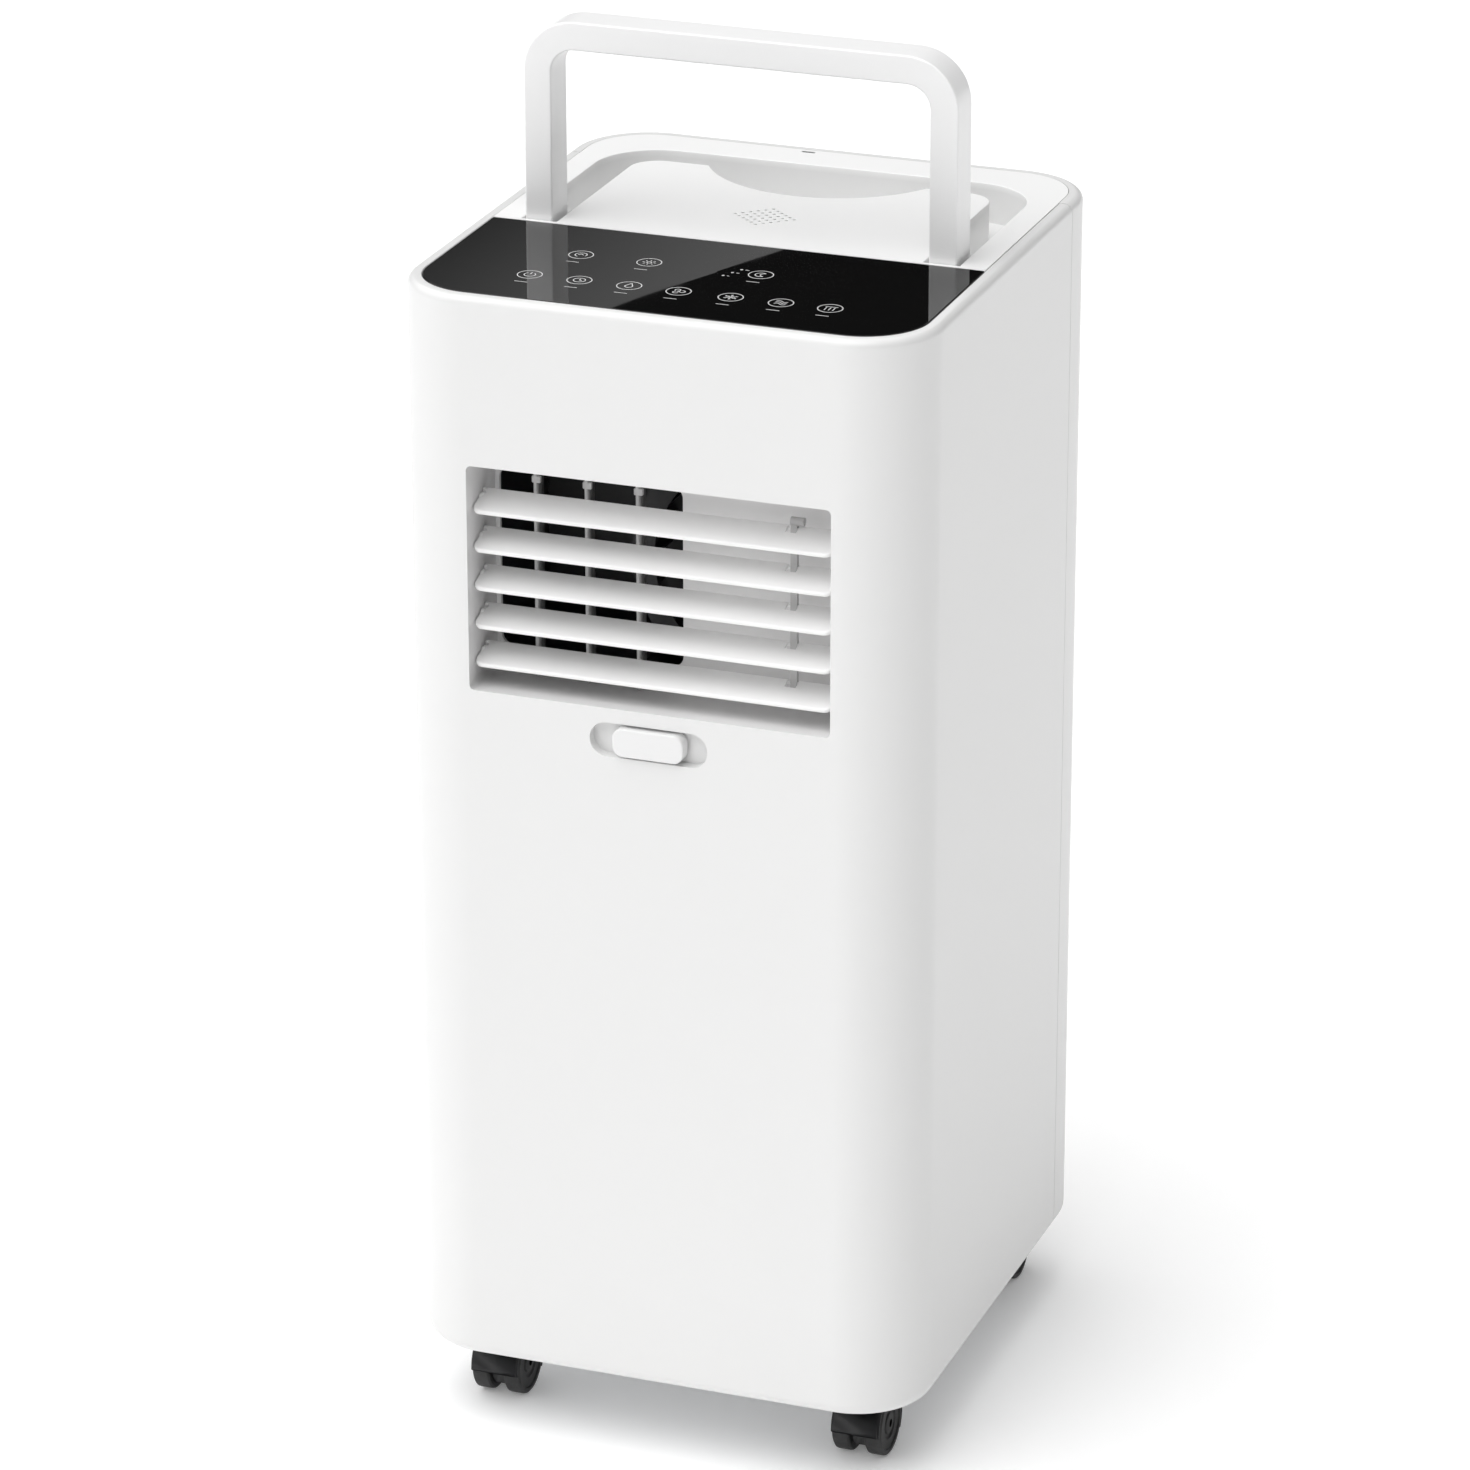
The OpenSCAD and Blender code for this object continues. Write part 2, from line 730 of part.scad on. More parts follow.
module base_tray() {
    tray_w = body_w - 2 * bottom_edge_r;
    tray_d = body_d - 2 * bottom_edge_r;
    tray_r = corner_r - bottom_edge_r;
    lip_h = 22;
    color("lightgray") difference() {
        union() {
            translate([0, 0, z_low]) linear_extrude(base_t) round_rect(tray_w, tray_d, tray_r);
            translate([0, 0, z_low + bottom_edge_r]) linear_extrude(lip_h) difference() {
                round_rect(body_w - 2 * wall, body_d - 2 * wall, corner_r - wall);
                round_rect(tray_w - 6, tray_d - 6, tray_r - 3);
            }
            translate([0, 0, z_low]) linear_extrude(bottom_edge_r) difference() {
                round_rect(tray_w, tray_d, tray_r);
                round_rect(tray_w - 6, tray_d - 6, tray_r - 3);
            }
            for (i = [0 : 3]) rod_z(z_low, base_floor + 18, caster_at(i)[0], caster_at(i)[1], stem_r + 5);
            for (at = screw_spots) if (at[1] < partition_low)
                screw_boss(at[0], z_low + bottom_edge_r, z_low + bottom_edge_r + lip_h);
            rod_y(y_back - wall - 16, y_back - 0.5, drain_x, lower_drain_z, 8);
        }
        for (i = [0 : 3])
            rod_z(z_low - eps, base_floor + 16.5, caster_at(i)[0], caster_at(i)[1], stem_r + running);
        for (at = screw_spots) rod_y(y_back - wall - 9, y_back, at[0], at[1], 2);
        rod_y(y_back - wall - 17, y_back, drain_x, lower_drain_z, drain_r);
    }
}

module screw_boss(x, z0, z1) {
    block([x - 5, y_back - wall - 10, z0], [x + 5, y_back - wall, z1]);
}

module middle_partition() {
    w = body_w - 2 * wall;
    d = body_d - 2 * wall;
    rail = 12;
    notch_y = recess_y + recess_t + 1;
    color("lightgray") difference() {
        union() {
            translate([0, 0, partition_low]) linear_extrude(3) round_rect(w, d, corner_r - wall);
            translate([0, 0, partition_low]) linear_extrude(partition_h - 1) difference() {
                round_rect(w, d, corner_r - wall);
                round_rect(w - 6, d - 6, corner_r - wall - 3);
            }
            for (y = [coil_y, coil_y + coil_t - rail])
                block([-coil_w / 2, y, partition_low], [coil_w / 2, y + rail, partition_z]);
            block([fan_x - 45, upper_scroll_y, partition_low], [fan_x + 45, upper_scroll_end, partition_z]);
            for (at = screw_spots) if (at[1] > partition_low)
                screw_boss(at[0], partition_low, partition_z - 1);
            rod_y(y_back - wall - 6, y_back - 0.5, drain_x, upper_drain_z, 8);
        }
        for (at = screw_spots) rod_y(y_back - wall - 9, y_back, at[0], at[1], 2);
        rod_y(y_back - wall - 17, y_back, drain_x, upper_drain_z, drain_r);
        rod_z(partition_low - eps, partition_z, accumulator_x, accumulator_y, pipe_r + 2);
        block([-recess_w / 2 - 4, y_front, slider_z - recess_h / 2 - 3], [recess_w / 2 + 4, notch_y, partition_z]);
    }
}

// ---- cooling system ----

module compressor() {
    z = base_floor + feet_h;
    dome = 22;
    color("dimgray") difference() {
        union() {
            rod_z(z + 6, z + compressor_h - dome, compressor_x, compressor_y, compressor_r);
            translate([compressor_x, compressor_y, z + compressor_h - dome]) intersection() {
                scale(compressor_r) sphere(1);
                rod_z(0, dome, 0, 0, compressor_r);
            }
            for (turn = [0 : 2]) rotate_about(compressor_x, compressor_y, 120 * turn + 90)
                block([-13, 0, z], [13, compressor_r + 16, z + 4]);
            rod_z(z, z + 8, compressor_x, compressor_y, compressor_r - 6);
        }
        for (turn = [0 : 2]) rotate_about(compressor_x, compressor_y, 120 * turn + 90)
            rod_z(z - eps, z + 5, 0, compressor_r + 8, 4);
    }
}

module rotate_about(x, y, angle) {
    translate([x, y, 0]) rotate([0, 0, angle]) children();
}

module compressor_mounts() {
    z = base_floor + feet_h;
    color("black") for (turn = [0 : 2]) rotate_about(compressor_x, compressor_y, 120 * turn + 90)
        difference() {
            union() {
                rod_z(base_floor, z, 0, compressor_r + 8, 10);
                rod_z(z, z + 5, 0, compressor_r + 8, 4);
                rod_z(z + 4, z + 7, 0, compressor_r + 8, 8);
            }
            rod_z(base_floor - eps, z + 8, 0, compressor_r + 8, 2);
        }
}

module accumulator() {
    z = base_floor + 55;
    color("dimgray") {
        rod_z(z, z + 110, accumulator_x, accumulator_y, 18);
        rod_z(z - 8, z, accumulator_x, accumulator_y, 10);
        rod_z(z + 110, z + 118, accumulator_x, accumulator_y, 10);
    }
}

// Fin block with end plates and the return bends of its tubes
module coil(z0, z1) {
    plate_t = 2;
    pitch = 24;
    rows = floor((z1 - z0 - 20) / pitch);
    block([-coil_w / 2, coil_y + 2, z0 + 2], [coil_w / 2, coil_y + coil_t - 2, z1 - 2]);
    for (side = [-1, 1]) {
        x = side * (coil_w / 2 - plate_t / 2);
        block([x - plate_t / 2, coil_y, z0], [x + plate_t / 2, coil_y + coil_t, z1]);
        for (row = [0 : rows - 1], y = [coil_y + 12, coil_y + coil_t - 12])
            translate([side * coil_w / 2, y, z0 + 14 + (row + 0.5) * pitch])
                rotate([90, 0, 0]) rotate_extrude(angle = 180, start = side > 0 ? -90 : 90)
                    translate([7, 0]) circle(3);
    }
}

module condenser_coil() {
    color("silver") coil(condenser_low, condenser_top);
}

module evaporator_coil() {
    color("silver") coil(partition_z, z_top - 48);
}

// Tube elbow in the YZ plane that turns from straight up to straight back
module pipe_up_back(x, y, z, r) {
    translate([x, y + r, z]) rotate([0, -90, 0]) rotate_extrude(angle = 90, start = -90)
        translate([r, 0]) circle(pipe_r);
}

// Tube elbow in the YZ plane that turns from straight back to straight down
module pipe_back_down(x, y, z, r) {
    translate([x, y, z - r]) rotate([0, -90, 0]) rotate_extrude(angle = 90)
        translate([r, 0]) circle(pipe_r);
}

module copper_pipes() {
    bend = 12;
    dis_x = compressor_x - 32;
    dis_z = base_floor + feet_h + compressor_h;
    run_z = dis_z + bend + 2;
    run_y = coil_y + coil_t / 2;
    suc_z = base_floor + 55 + 118;
    suc_top = z_top - 90;
    color("chocolate") {
        rod_z(dis_z, run_z - bend, dis_x, compressor_y, pipe_r);
        pipe_up_back(dis_x, compressor_y, run_z - bend, bend);
        rod_y(compressor_y + bend, run_y - bend, dis_x, run_z, pipe_r);
        pipe_back_down(dis_x, run_y - bend, run_z, bend);
        rod_z(condenser_top, run_z - bend, dis_x, run_y, pipe_r);
        rod_z(suc_z, suc_top - bend, accumulator_x, accumulator_y, pipe_r);
        pipe_up_back(accumulator_x, accumulator_y, suc_top - bend, bend);
        rod_y(accumulator_y + bend, coil_y, accumulator_x, suc_top, pipe_r);
    }
}

// Squirrel-cage wheel on a shaft along Y
module fan_wheel(x, z, y0, y1, r, shaft_y) {
    hub_y = (y0 + y1) / 2 + 4;
    difference() {
        union() {
            for (y = [y0, y1 - 3]) rod_y(y, y + 3, x, z, r);
            for (turn = [0 : 23]) translate([x, 0, z]) rotate([0, turn * 15, 0])
                block([r - 13, y0 + 1, -0.8], [r - 1, y1 - 1, 0.8]);
        }
        for (y = [y0, y1 - 3]) rod_y(y - eps, y + 3 + eps, x, z, r - 13);
    }
    rod_y(hub_y, hub_y + 3, x, z, r - 3);
    rod_y(hub_y - 8, hub_y + 10, x, z, 9);
    rod_y(shaft_y, hub_y, x, z, 4);
}

// Drum of a motor that stands on the front wall of its fan housing
module fan_motor(x, z, y0, y1, r) {
    difference() {
        union() {
            rod_y(y0, y1 - 4, x, z, r);
            rod_y(y0, y1, x, z, r / 2);
        }
        rod_y(y0 + 3, y1 + eps, x, z, 4 + running);
    }
}

module upper_scroll() {
    y0 = upper_scroll_y;
    y1 = upper_scroll_end;
    duct_low = mouth_z - mouth_h / 2 - 4;
    duct_top = fan_z + upper_scroll_r;
    duct_left = mouth_x - mouth_w / 2 - 4;
    color("dimgray") difference() {
        union() {
            rod_y(y0, y1, fan_x, fan_z, upper_scroll_r);
            block([duct_left, y0, duct_low], [fan_x, y1, duct_top]);
            block([fan_x - 40, y0, partition_z], [fan_x + 40, y1, fan_z]);
        }
        rod_y(y0 + scroll_wall, y1 - scroll_wall, fan_x, fan_z, upper_scroll_r - scroll_wall);
        block([duct_left + scroll_wall, y0 + scroll_wall, duct_low + scroll_wall],
            [fan_x, y1 - scroll_wall, duct_top - scroll_wall]);
        plate_y(y0 - eps, y0 + scroll_wall + eps, mouth_x, mouth_z, mouth_w, mouth_h, mouth_r);
        rod_y(y1 - scroll_wall - eps, y1 + eps, fan_x, fan_z, fan_r - 10);
    }
}

module upper_fan() {
    y0 = upper_scroll_y + scroll_wall;
    color("black") fan_wheel(fan_x, fan_z, y0 + 6, y0 + 62, fan_r, y0 + 5);
}

module upper_motor() {
    y0 = upper_scroll_y + scroll_wall;
    color("silver") fan_motor(fan_x, fan_z, y0, y0 + 28, 38);
}

module lower_scroll() {
    y0 = lower_scroll_y;
    y1 = y0 + lower_scroll_d;
    left = port_x - port_r - scroll_wall;
    low = port_z - port_r - scroll_wall;
    t = scroll_wall;
    color("dimgray") difference() {
        union() {
            rod_y(y0, y1, lower_fan_x, lower_fan_z, lower_scroll_r);
            block([left, y0, low], [lower_fan_x, y1, partition_low]);
            rod_y(y1, y_back - 18, port_x, port_z, port_r + t);
        }
        rod_y(y0 + t, y1 - t, lower_fan_x, lower_fan_z, lower_scroll_r - t);
        block([left + t, y0 + t, low + t], [lower_fan_x, y1 - t, partition_low - t]);
        rod_y(y1 - t - eps, y_back, port_x, port_z, port_r);
        rod_y(y0 - eps, y0 + t + eps, lower_fan_x, lower_fan_z, lower_fan_r - 12);
    }
}

module lower_fan() {
    y1 = lower_scroll_y + lower_scroll_d - scroll_wall;
    color("black") translate([0, y1, 0]) mirror([0, 1, 0])
        fan_wheel(lower_fan_x, lower_fan_z, 6, 62, lower_fan_r, 5);
}

module lower_motor() {
    y1 = lower_scroll_y + lower_scroll_d - scroll_wall;
    color("silver") translate([0, y1, 0]) mirror([0, 1, 0]) fan_motor(lower_fan_x, lower_fan_z, 0, 28, 34);
}

module splash_wheel() {
    color("white") {
        rod_y(coil_y - 16, coil_y - 13, splash_x, splash_z, splash_r);
        rod_y(coil_y - 22, coil_y - 13, splash_x, splash_z, 6);
        rod_y(coil_y - 44, coil_y - 22, splash_x, splash_z, 2);
        for (turn = [0 : 11]) translate([splash_x, 0, splash_z]) rotate([0, turn * 30, 0])
            block([8, coil_y - 14, -0.8], [splash_r + 2, coil_y - 8, 0.8]);
    }
}

module splash_motor() {
    color("silver") difference() {
        union() {
            rod_y(coil_y - 62, coil_y - 26, splash_x, splash_z, 16);
            block([splash_x - 12, coil_y - 60, base_floor], [splash_x + 12, coil_y - 28, splash_z]);
        }
        rod_y(coil_y - 48, coil_y, splash_x, splash_z, 2 + running);
    }
}

module float_switch() {
    x = -x_side + 40;
    y = coil_y - 30;
    color("white") {
        rod_z(base_floor, base_floor + 34, x, y, 3);
        rod_z(base_floor + 8, base_floor + 18, x, y, 9);
        rod_z(base_floor, base_floor + 2, x, y, 12);
    }
}

// ---- electrics ----

module electrical_box() {
    t = 2.5;
    color("lightgray") difference() {
        block([box_x, box_y, box_z], [box_x + box_w, box_y + box_d, box_z + box_h]);
        block([box_x + t, box_y + t, box_z + t], [box_x + box_w - t, box_y + box_d + t, box_z + box_h - t]);
    }
}

module main_board() {
    y = box_y + 2.5;
    color("darkgreen") {
        block([box_x + 6, y + 5, box_z + 8], [box_x + 94, y + 7, box_z + 84]);
        for (x = [box_x + 12, box_x + 88], z = [box_z + 14, box_z + 78]) rod_y(y, y + 5, x, z, 3);
        block([box_x + 14, y + 7, box_z + 50], [box_x + 40, y + 25, box_z + 76]);
        block([box_x + 50, y + 7, box_z + 55], [box_x + 66, y + 23, box_z + 76]);
        for (x = [box_x + 52, box_x + 74]) rod_y(y + 7, y + 30, x, box_z + 30, 9);
    }
}

module run_capacitor() {
    color("silver") rod_x(box_x + 14, box_x + 86, box_y + 26, box_z + 107, 18);
    color("silver") block([box_x + 30, box_y + 2.5, box_z + 101], [box_x + 70, box_y + 12, box_z + 113]);
}

// ---- back ----

module exhaust_collar() {
    color("white") difference() {
        union() {
            rod_y(y_back - 18, y_back + port_proud, port_x, port_z, port_r + 4);
            rod_y(y_back, y_back + port_proud, port_x, port_z, port_r + 7);
        }
        rod_y(y_back - 19, y_back + port_proud + eps, port_x, port_z, port_r);
    }
}

module cord_gland() {
    color("white") difference() {
        union() {
            rod_y(y_back - wall - 8, y_back, gland_x, gland_z, 8);
            rod_y(y_back, y_back + 2.5, gland_x, gland_z, 11);
            rod_y(y_back - wall - 8, y_back - wall, gland_x, gland_z, 10);
        }
        rod_y(y_back - wall - 9, y_back + 4, gland_x, gland_z, 4);
    }
}

module filter_frame(z, h) {
    w = intake_w - 2 * hand_fit;
    hh = h - 2 * hand_fit;
    rows = floor((hh - 24) / 10);
    grille_t = 3.5;
    grip_w = 60;
    color("white") difference() {
        plate_y(filter_y + hand_fit, y_back, 0, z, w, hh, 4 - hand_fit);
        plate_y(filter_y, y_back - grille_t, 0, z, w - 8, hh - 8, 3);
        for (row = [1 : rows], side = [-1, 1])
            plate_y(filter_y, y_back + eps, side * w / 4, z - hh / 2 + 9 + row * 10, w / 2 - 12, 5, 2);
        stadium_y(y_back - 2.5, y_back + eps, 0, z + hh / 2 - 8, grip_w, 8);
    }
}

module filter_mesh(z, h) {
    inset = 2 * hand_fit + 8;
    color("gray") plate_y(filter_y + 3, filter_y + 4.5, 0, z, intake_w - inset, h - inset, 3);
}

module upper_filter_frame() {
    filter_frame(intake_upper_z, intake_upper_h);
}

module upper_filter_mesh() {
    filter_mesh(intake_upper_z, intake_upper_h);
}

module lower_filter_frame() {
    filter_frame(intake_lower_z, intake_lower_h);
}

module lower_filter_mesh() {
    filter_mesh(intake_lower_z, intake_lower_h);
}

module drain_plug(z) {
    color("black") {
        rod_y(y_back - 12, y_back + 1, drain_x, z, drain_r - running);
        rod_y(y_back + 0.2, y_back + 2.7, drain_x, z, 10);
    }
}

module upper_drain_plug() {
    drain_plug(upper_drain_z);
}

module lower_drain_plug() {
    drain_plug(lower_drain_z);
}

module case_screws() {
    color("silver") for (at = screw_spots) difference() {
        union() {
            rod_y(y_back - wall - 9, y_back - 1.8, at[0], at[1], 2);
            rod_y(y_back - 1.8, y_back, at[0], at[1], 4);
        }
        block([at[0] - 2.4, y_back - 1, at[1] - 0.5], [at[0] + 2.4, y_back + eps, at[1] + 0.5]);
        block([at[0] - 0.5, y_back - 1, at[1] - 2.4], [at[0] + 0.5, y_back + eps, at[1] + 2.4]);
    }
}

front_shell();
rear_cover();
top_deck();
control_glass();
display_board();
handle();
handle_pins();
outlet_housing();
louver_link();
vane_link();
slider_knob();
for (i = [1 : louver_count]) louver(i);
for (i = [1 : vane_count]) vane(i);
for (i = [0 : 3]) caster_fork(i);
for (i = [0 : 3]) caster_wheels(i);
base_tray();
middle_partition();
compressor();
compressor_mounts();
accumulator();
condenser_coil();
evaporator_coil();
copper_pipes();
upper_scroll();
upper_fan();
upper_motor();
lower_scroll();
lower_fan();
lower_motor();
splash_wheel();
splash_motor();
float_switch();
electrical_box();
main_board();
run_capacitor();
exhaust_collar();
cord_gland();
upper_filter_frame();
upper_filter_mesh();
lower_filter_frame();
lower_filter_mesh();
upper_drain_plug();
lower_drain_plug();
case_screws();
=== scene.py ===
import json
from math import cos, pi, radians, sin, sqrt

import bmesh
import bpy
from mathutils import Matrix, Vector

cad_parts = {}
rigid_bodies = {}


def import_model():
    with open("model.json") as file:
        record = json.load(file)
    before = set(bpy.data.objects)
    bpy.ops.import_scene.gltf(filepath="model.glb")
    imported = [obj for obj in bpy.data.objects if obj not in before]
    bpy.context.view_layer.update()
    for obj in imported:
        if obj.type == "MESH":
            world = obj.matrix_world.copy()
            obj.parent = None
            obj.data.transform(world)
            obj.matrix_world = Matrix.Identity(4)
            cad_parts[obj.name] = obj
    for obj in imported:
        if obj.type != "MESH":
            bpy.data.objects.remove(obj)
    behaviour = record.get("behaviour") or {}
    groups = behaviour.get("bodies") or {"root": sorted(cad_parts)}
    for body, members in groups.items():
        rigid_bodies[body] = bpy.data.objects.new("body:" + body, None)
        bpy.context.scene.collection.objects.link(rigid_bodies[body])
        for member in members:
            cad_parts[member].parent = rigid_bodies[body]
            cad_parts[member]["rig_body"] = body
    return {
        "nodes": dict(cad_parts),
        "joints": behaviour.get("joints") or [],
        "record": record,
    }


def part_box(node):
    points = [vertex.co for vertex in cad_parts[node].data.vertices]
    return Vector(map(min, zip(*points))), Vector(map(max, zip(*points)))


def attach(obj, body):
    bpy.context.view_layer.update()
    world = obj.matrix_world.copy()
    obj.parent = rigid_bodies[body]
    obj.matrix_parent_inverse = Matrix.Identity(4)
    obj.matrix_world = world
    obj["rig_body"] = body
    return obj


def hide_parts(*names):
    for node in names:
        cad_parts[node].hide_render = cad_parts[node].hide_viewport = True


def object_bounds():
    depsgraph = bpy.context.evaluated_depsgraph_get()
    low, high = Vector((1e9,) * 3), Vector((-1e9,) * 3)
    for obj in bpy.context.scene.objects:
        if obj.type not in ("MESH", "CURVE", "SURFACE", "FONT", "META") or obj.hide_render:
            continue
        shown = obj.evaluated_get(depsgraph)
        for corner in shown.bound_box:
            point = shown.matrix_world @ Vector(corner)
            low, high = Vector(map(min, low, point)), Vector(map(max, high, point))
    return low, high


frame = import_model()
nodes = frame["nodes"]
cadLow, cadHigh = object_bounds()
print("frame loaded,", len(nodes), "nodes")


# places read from the frame
def low(node):
    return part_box(node)[0]


def high(node):
    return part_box(node)[1]


def middle(node):
    return (low(node) + high(node)) / 2


def jointAt(name):
    joint = next(j for j in frame["joints"] if j["name"] == name)
    return Vector(joint["pos_m"])


floorZ = cadLow.z
caseLow = low("front_shell").z
caseTop = high("front_shell").z
caseFront = low("front_shell").y
caseBack = high("rear_cover").y
caseWidth = high("front_shell").x - low("front_shell").x
caseDepth = caseBack - caseFront


past = 0.01  # how far a cutter reaches past the face that it opens
slack = 0.001  # room to pick corners and edges by their place
hair = 0.00001  # room to pick them by an exact level
weldDist = 1e-6


def vertsIn(geom):
    return [g for g in geom if isinstance(g, bmesh.types.BMVert)]


def edgesIn(geom):
    return [g for g in geom if isinstance(g, bmesh.types.BMEdge)]


def facingOut(bm):
    bmesh.ops.recalc_face_normals(bm, faces=bm.faces[:])
    return bm


def merged(bm):
    bmesh.ops.remove_doubles(bm, verts=bm.verts, dist=weldDist)
    return bm


def raised(bm, vec):
    # gives an open face region its thickness
    grown = bmesh.ops.extrude_face_region(bm, geom=bm.faces[:])
    bmesh.ops.translate(bm, vec=vec, verts=vertsIn(grown["geom"]))
    return bm


def meshOf(bm, name):
    mesh = bpy.data.meshes.new(name)
    bm.to_mesh(mesh)
    bm.free()
    return mesh


def linked(name, data):
    obj = bpy.data.objects.new(name, data)
    bpy.context.scene.collection.objects.link(obj)
    return obj


def xyPlate(width, depth, radius, thickness, steps=10, corners=(0, 1, 2, 3)):
    bm = bmesh.new()
    bmesh.ops.create_grid(bm, x_segments=1, y_segments=1, size=0.5)
    bmesh.ops.scale(bm, vec=(width, depth, 1), verts=bm.verts)
    if radius:
        rounded = [v for v in bm.verts if (v.co.x > 0) + 2 * (v.co.y > 0) in corners]
        nearly = radius * 0.9999  # leaves a sliver of flat side where two corners meet
        bmesh.ops.bevel(bm, geom=rounded, offset=nearly, offset_type="OFFSET", affect="VERTICES",
                        segments=steps, profile=0.5, material=-1)
    return facingOut(raised(bm, (0, 0, thickness)))


def block(lowCorner, highCorner):
    size = Vector(highCorner) - Vector(lowCorner)
    bm = xyPlate(size.x, size.y, 0, size.z)
    at = (Vector(lowCorner) + Vector(highCorner)) / 2
    return moved(bm, (at.x, at.y, lowCorner[2]))


def moved(bm, vec):
    bmesh.ops.translate(bm, vec=vec, verts=bm.verts)
    return bm


def turned(bm, degrees, axis, about=(0, 0, 0)):
    bmesh.ops.rotate(bm, cent=about, matrix=Matrix.Rotation(radians(degrees), 3, axis), verts=bm.verts)
    return bm


def xzPlate(x, z, width, height, radius, yNear, yFar, steps=10):
    bm = turned(xyPlate(width, height, radius, yFar - yNear, steps), 90, "X")
    return moved(bm, (x, yFar, z))


def rod(start, end, radius, steps=24):
    start, end = Vector(start), Vector(end)
    along = end - start
    bm = bmesh.new()
    bmesh.ops.create_cone(bm, cap_ends=True, segments=steps, radius1=radius, radius2=radius,
                          depth=along.length)
    bmesh.ops.rotate(bm, matrix=along.to_track_quat("Z", "Y").to_matrix(), verts=bm.verts)
    return moved(bm, (start + end) / 2)


def together(*parts):
    bm = parts[0]
    for part in parts[1:]:
        mesh = meshOf(part, "part")
        bm.from_mesh(mesh)
        bpy.data.meshes.remove(mesh)
    return bm


def combined(bm, tool, kind="DIFFERENCE"):
    holders = [linked("holder", meshOf(part, "holder")) for part in (bm, tool)]
    body, cutter = holders
    modifier = body.modifiers.new("cut", "BOOLEAN")
    modifier.object = cutter
    modifier.operation = kind
    modifier.solver = "EXACT"
    graph = bpy.context.evaluated_depsgraph_get()
    mesh = bpy.data.meshes.new_from_object(body.evaluated_get(graph))
    result = bmesh.new()
    result.from_mesh(mesh)
    for holder in holders:
        used = holder.data
        bpy.data.objects.remove(holder)
        bpy.data.meshes.remove(used)
    bpy.data.meshes.remove(mesh)
    return result


def halved(bm, y, keepBack):
    geom = bm.verts[:] + bm.edges[:] + bm.faces[:]
    cut = bmesh.ops.bisect_plane(bm, geom=geom, dist=1e-7, plane_co=(0, y, 0), plane_no=(0, 1, 0),
                                 clear_outer=not keepBack, clear_inner=keepBack)
    bmesh.ops.holes_fill(bm, edges=edgesIn(cut["geom_cut"]), sides=0)
    return facingOut(bm)


def arc(x, z, radius, start, end, steps):
    angles = [radians(start + (end - start) * i / steps) for i in range(steps + 1)]
    return [(x + radius * cos(a), z + radius * sin(a)) for a in angles]


def pulled(bm, geom, vec):
    # extrudes a row of edges straight along and returns its new end
    grown = bmesh.ops.extrude_edge_only(bm, edges=edgesIn(geom))["geom"]
    bmesh.ops.translate(bm, vec=vec, verts=vertsIn(grown))
    return [g for g in grown if not isinstance(g, bmesh.types.BMFace)]


def sweptRound(profile, width, depth, radius, steps):
    # carries a closed profile round a rounded rectangle; its first numbers start at the corner's centre
    bm = bmesh.new()
    cx, cy = width / 2 - radius, depth / 2 - radius
    verts = [bm.verts.new((cx + out, cy, z)) for out, z in profile]
    ring = verts + [bm.edges.new((verts[i - 1], verts[i])) for i in range(len(verts))]
    for turn in range(4):
        quarter = Matrix.Rotation(radians(90 * turn), 3, "Z")
        centre = (cx if turn in (0, 3) else -cx, cy if turn < 2 else -cy, 0)
        spun = bmesh.ops.spin(bm, geom=ring, cent=centre, axis=(0, 0, 1), angle=pi / 2, steps=steps)
        run = 2 * (cx if turn % 2 == 0 else cy)
        ring = pulled(bm, spun["geom_last"], quarter @ Vector((-run, 0, 0)))
    return facingOut(merged(bm))


def lathe(profile, start, axis, steps=48):
    # profile: pairs of distance along the axis and radius, spun once round it
    axis = Vector(axis).normalized()
    side = axis.orthogonal().normalized()
    bm = bmesh.new()
    verts = [bm.verts.new(Vector(start) + axis * along + side * radius) for along, radius in profile]
    edges = [bm.edges.new(pair) for pair in zip(verts, verts[1:])]
    bmesh.ops.spin(bm, geom=verts + edges, cent=start, axis=axis, angle=2 * pi, steps=steps, use_merge=True)
    return facingOut(merged(bm))


def sharpEdges(bm, angle=35):
    return [e for e in bm.edges if len(e.link_faces) == 2 and e.calc_face_angle() > radians(angle)]


def bevelled(bm, edges, width, segments=3):
    bmesh.ops.bevel(bm, geom=edges, offset=width, offset_type="OFFSET", affect="EDGES",
                    segments=segments, profile=0.5, material=-1, clamp_overlap=True)
    return bm


def piece(name, bm, finish, body, replaced=(), edge=0.0, segments=2, angle=35):
    mesh = meshOf(bm, name)
    mesh.shade_smooth()
    obj = linked(name, mesh)
    mesh.materials.append(finish)
    if edge:
        bevel = obj.modifiers.new("soft edges", "BEVEL")
        bevel.width = edge
        bevel.segments = segments
        bevel.limit_method = "ANGLE"
        bevel.angle_limit = radians(angle)
    else:
        mesh.set_sharp_from_angle(angle=radians(angle))
    weighted = obj.modifiers.new("even shading", "WEIGHTED_NORMAL")
    weighted.keep_sharp = True
    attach(obj, body)
    if replaced:
        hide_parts(*replaced)
    return obj


def welded(node):
    # a merged copy of a part of the frame, with its flat faces whole again
    bm = bmesh.new()
    bm.from_mesh(nodes[node].data)
    merged(bm)
    bmesh.ops.dissolve_limit(bm, angle_limit=radians(0.3), verts=bm.verts, edges=bm.edges,
                             use_dissolve_boundaries=False, delimit={"NORMAL"})
    return bm


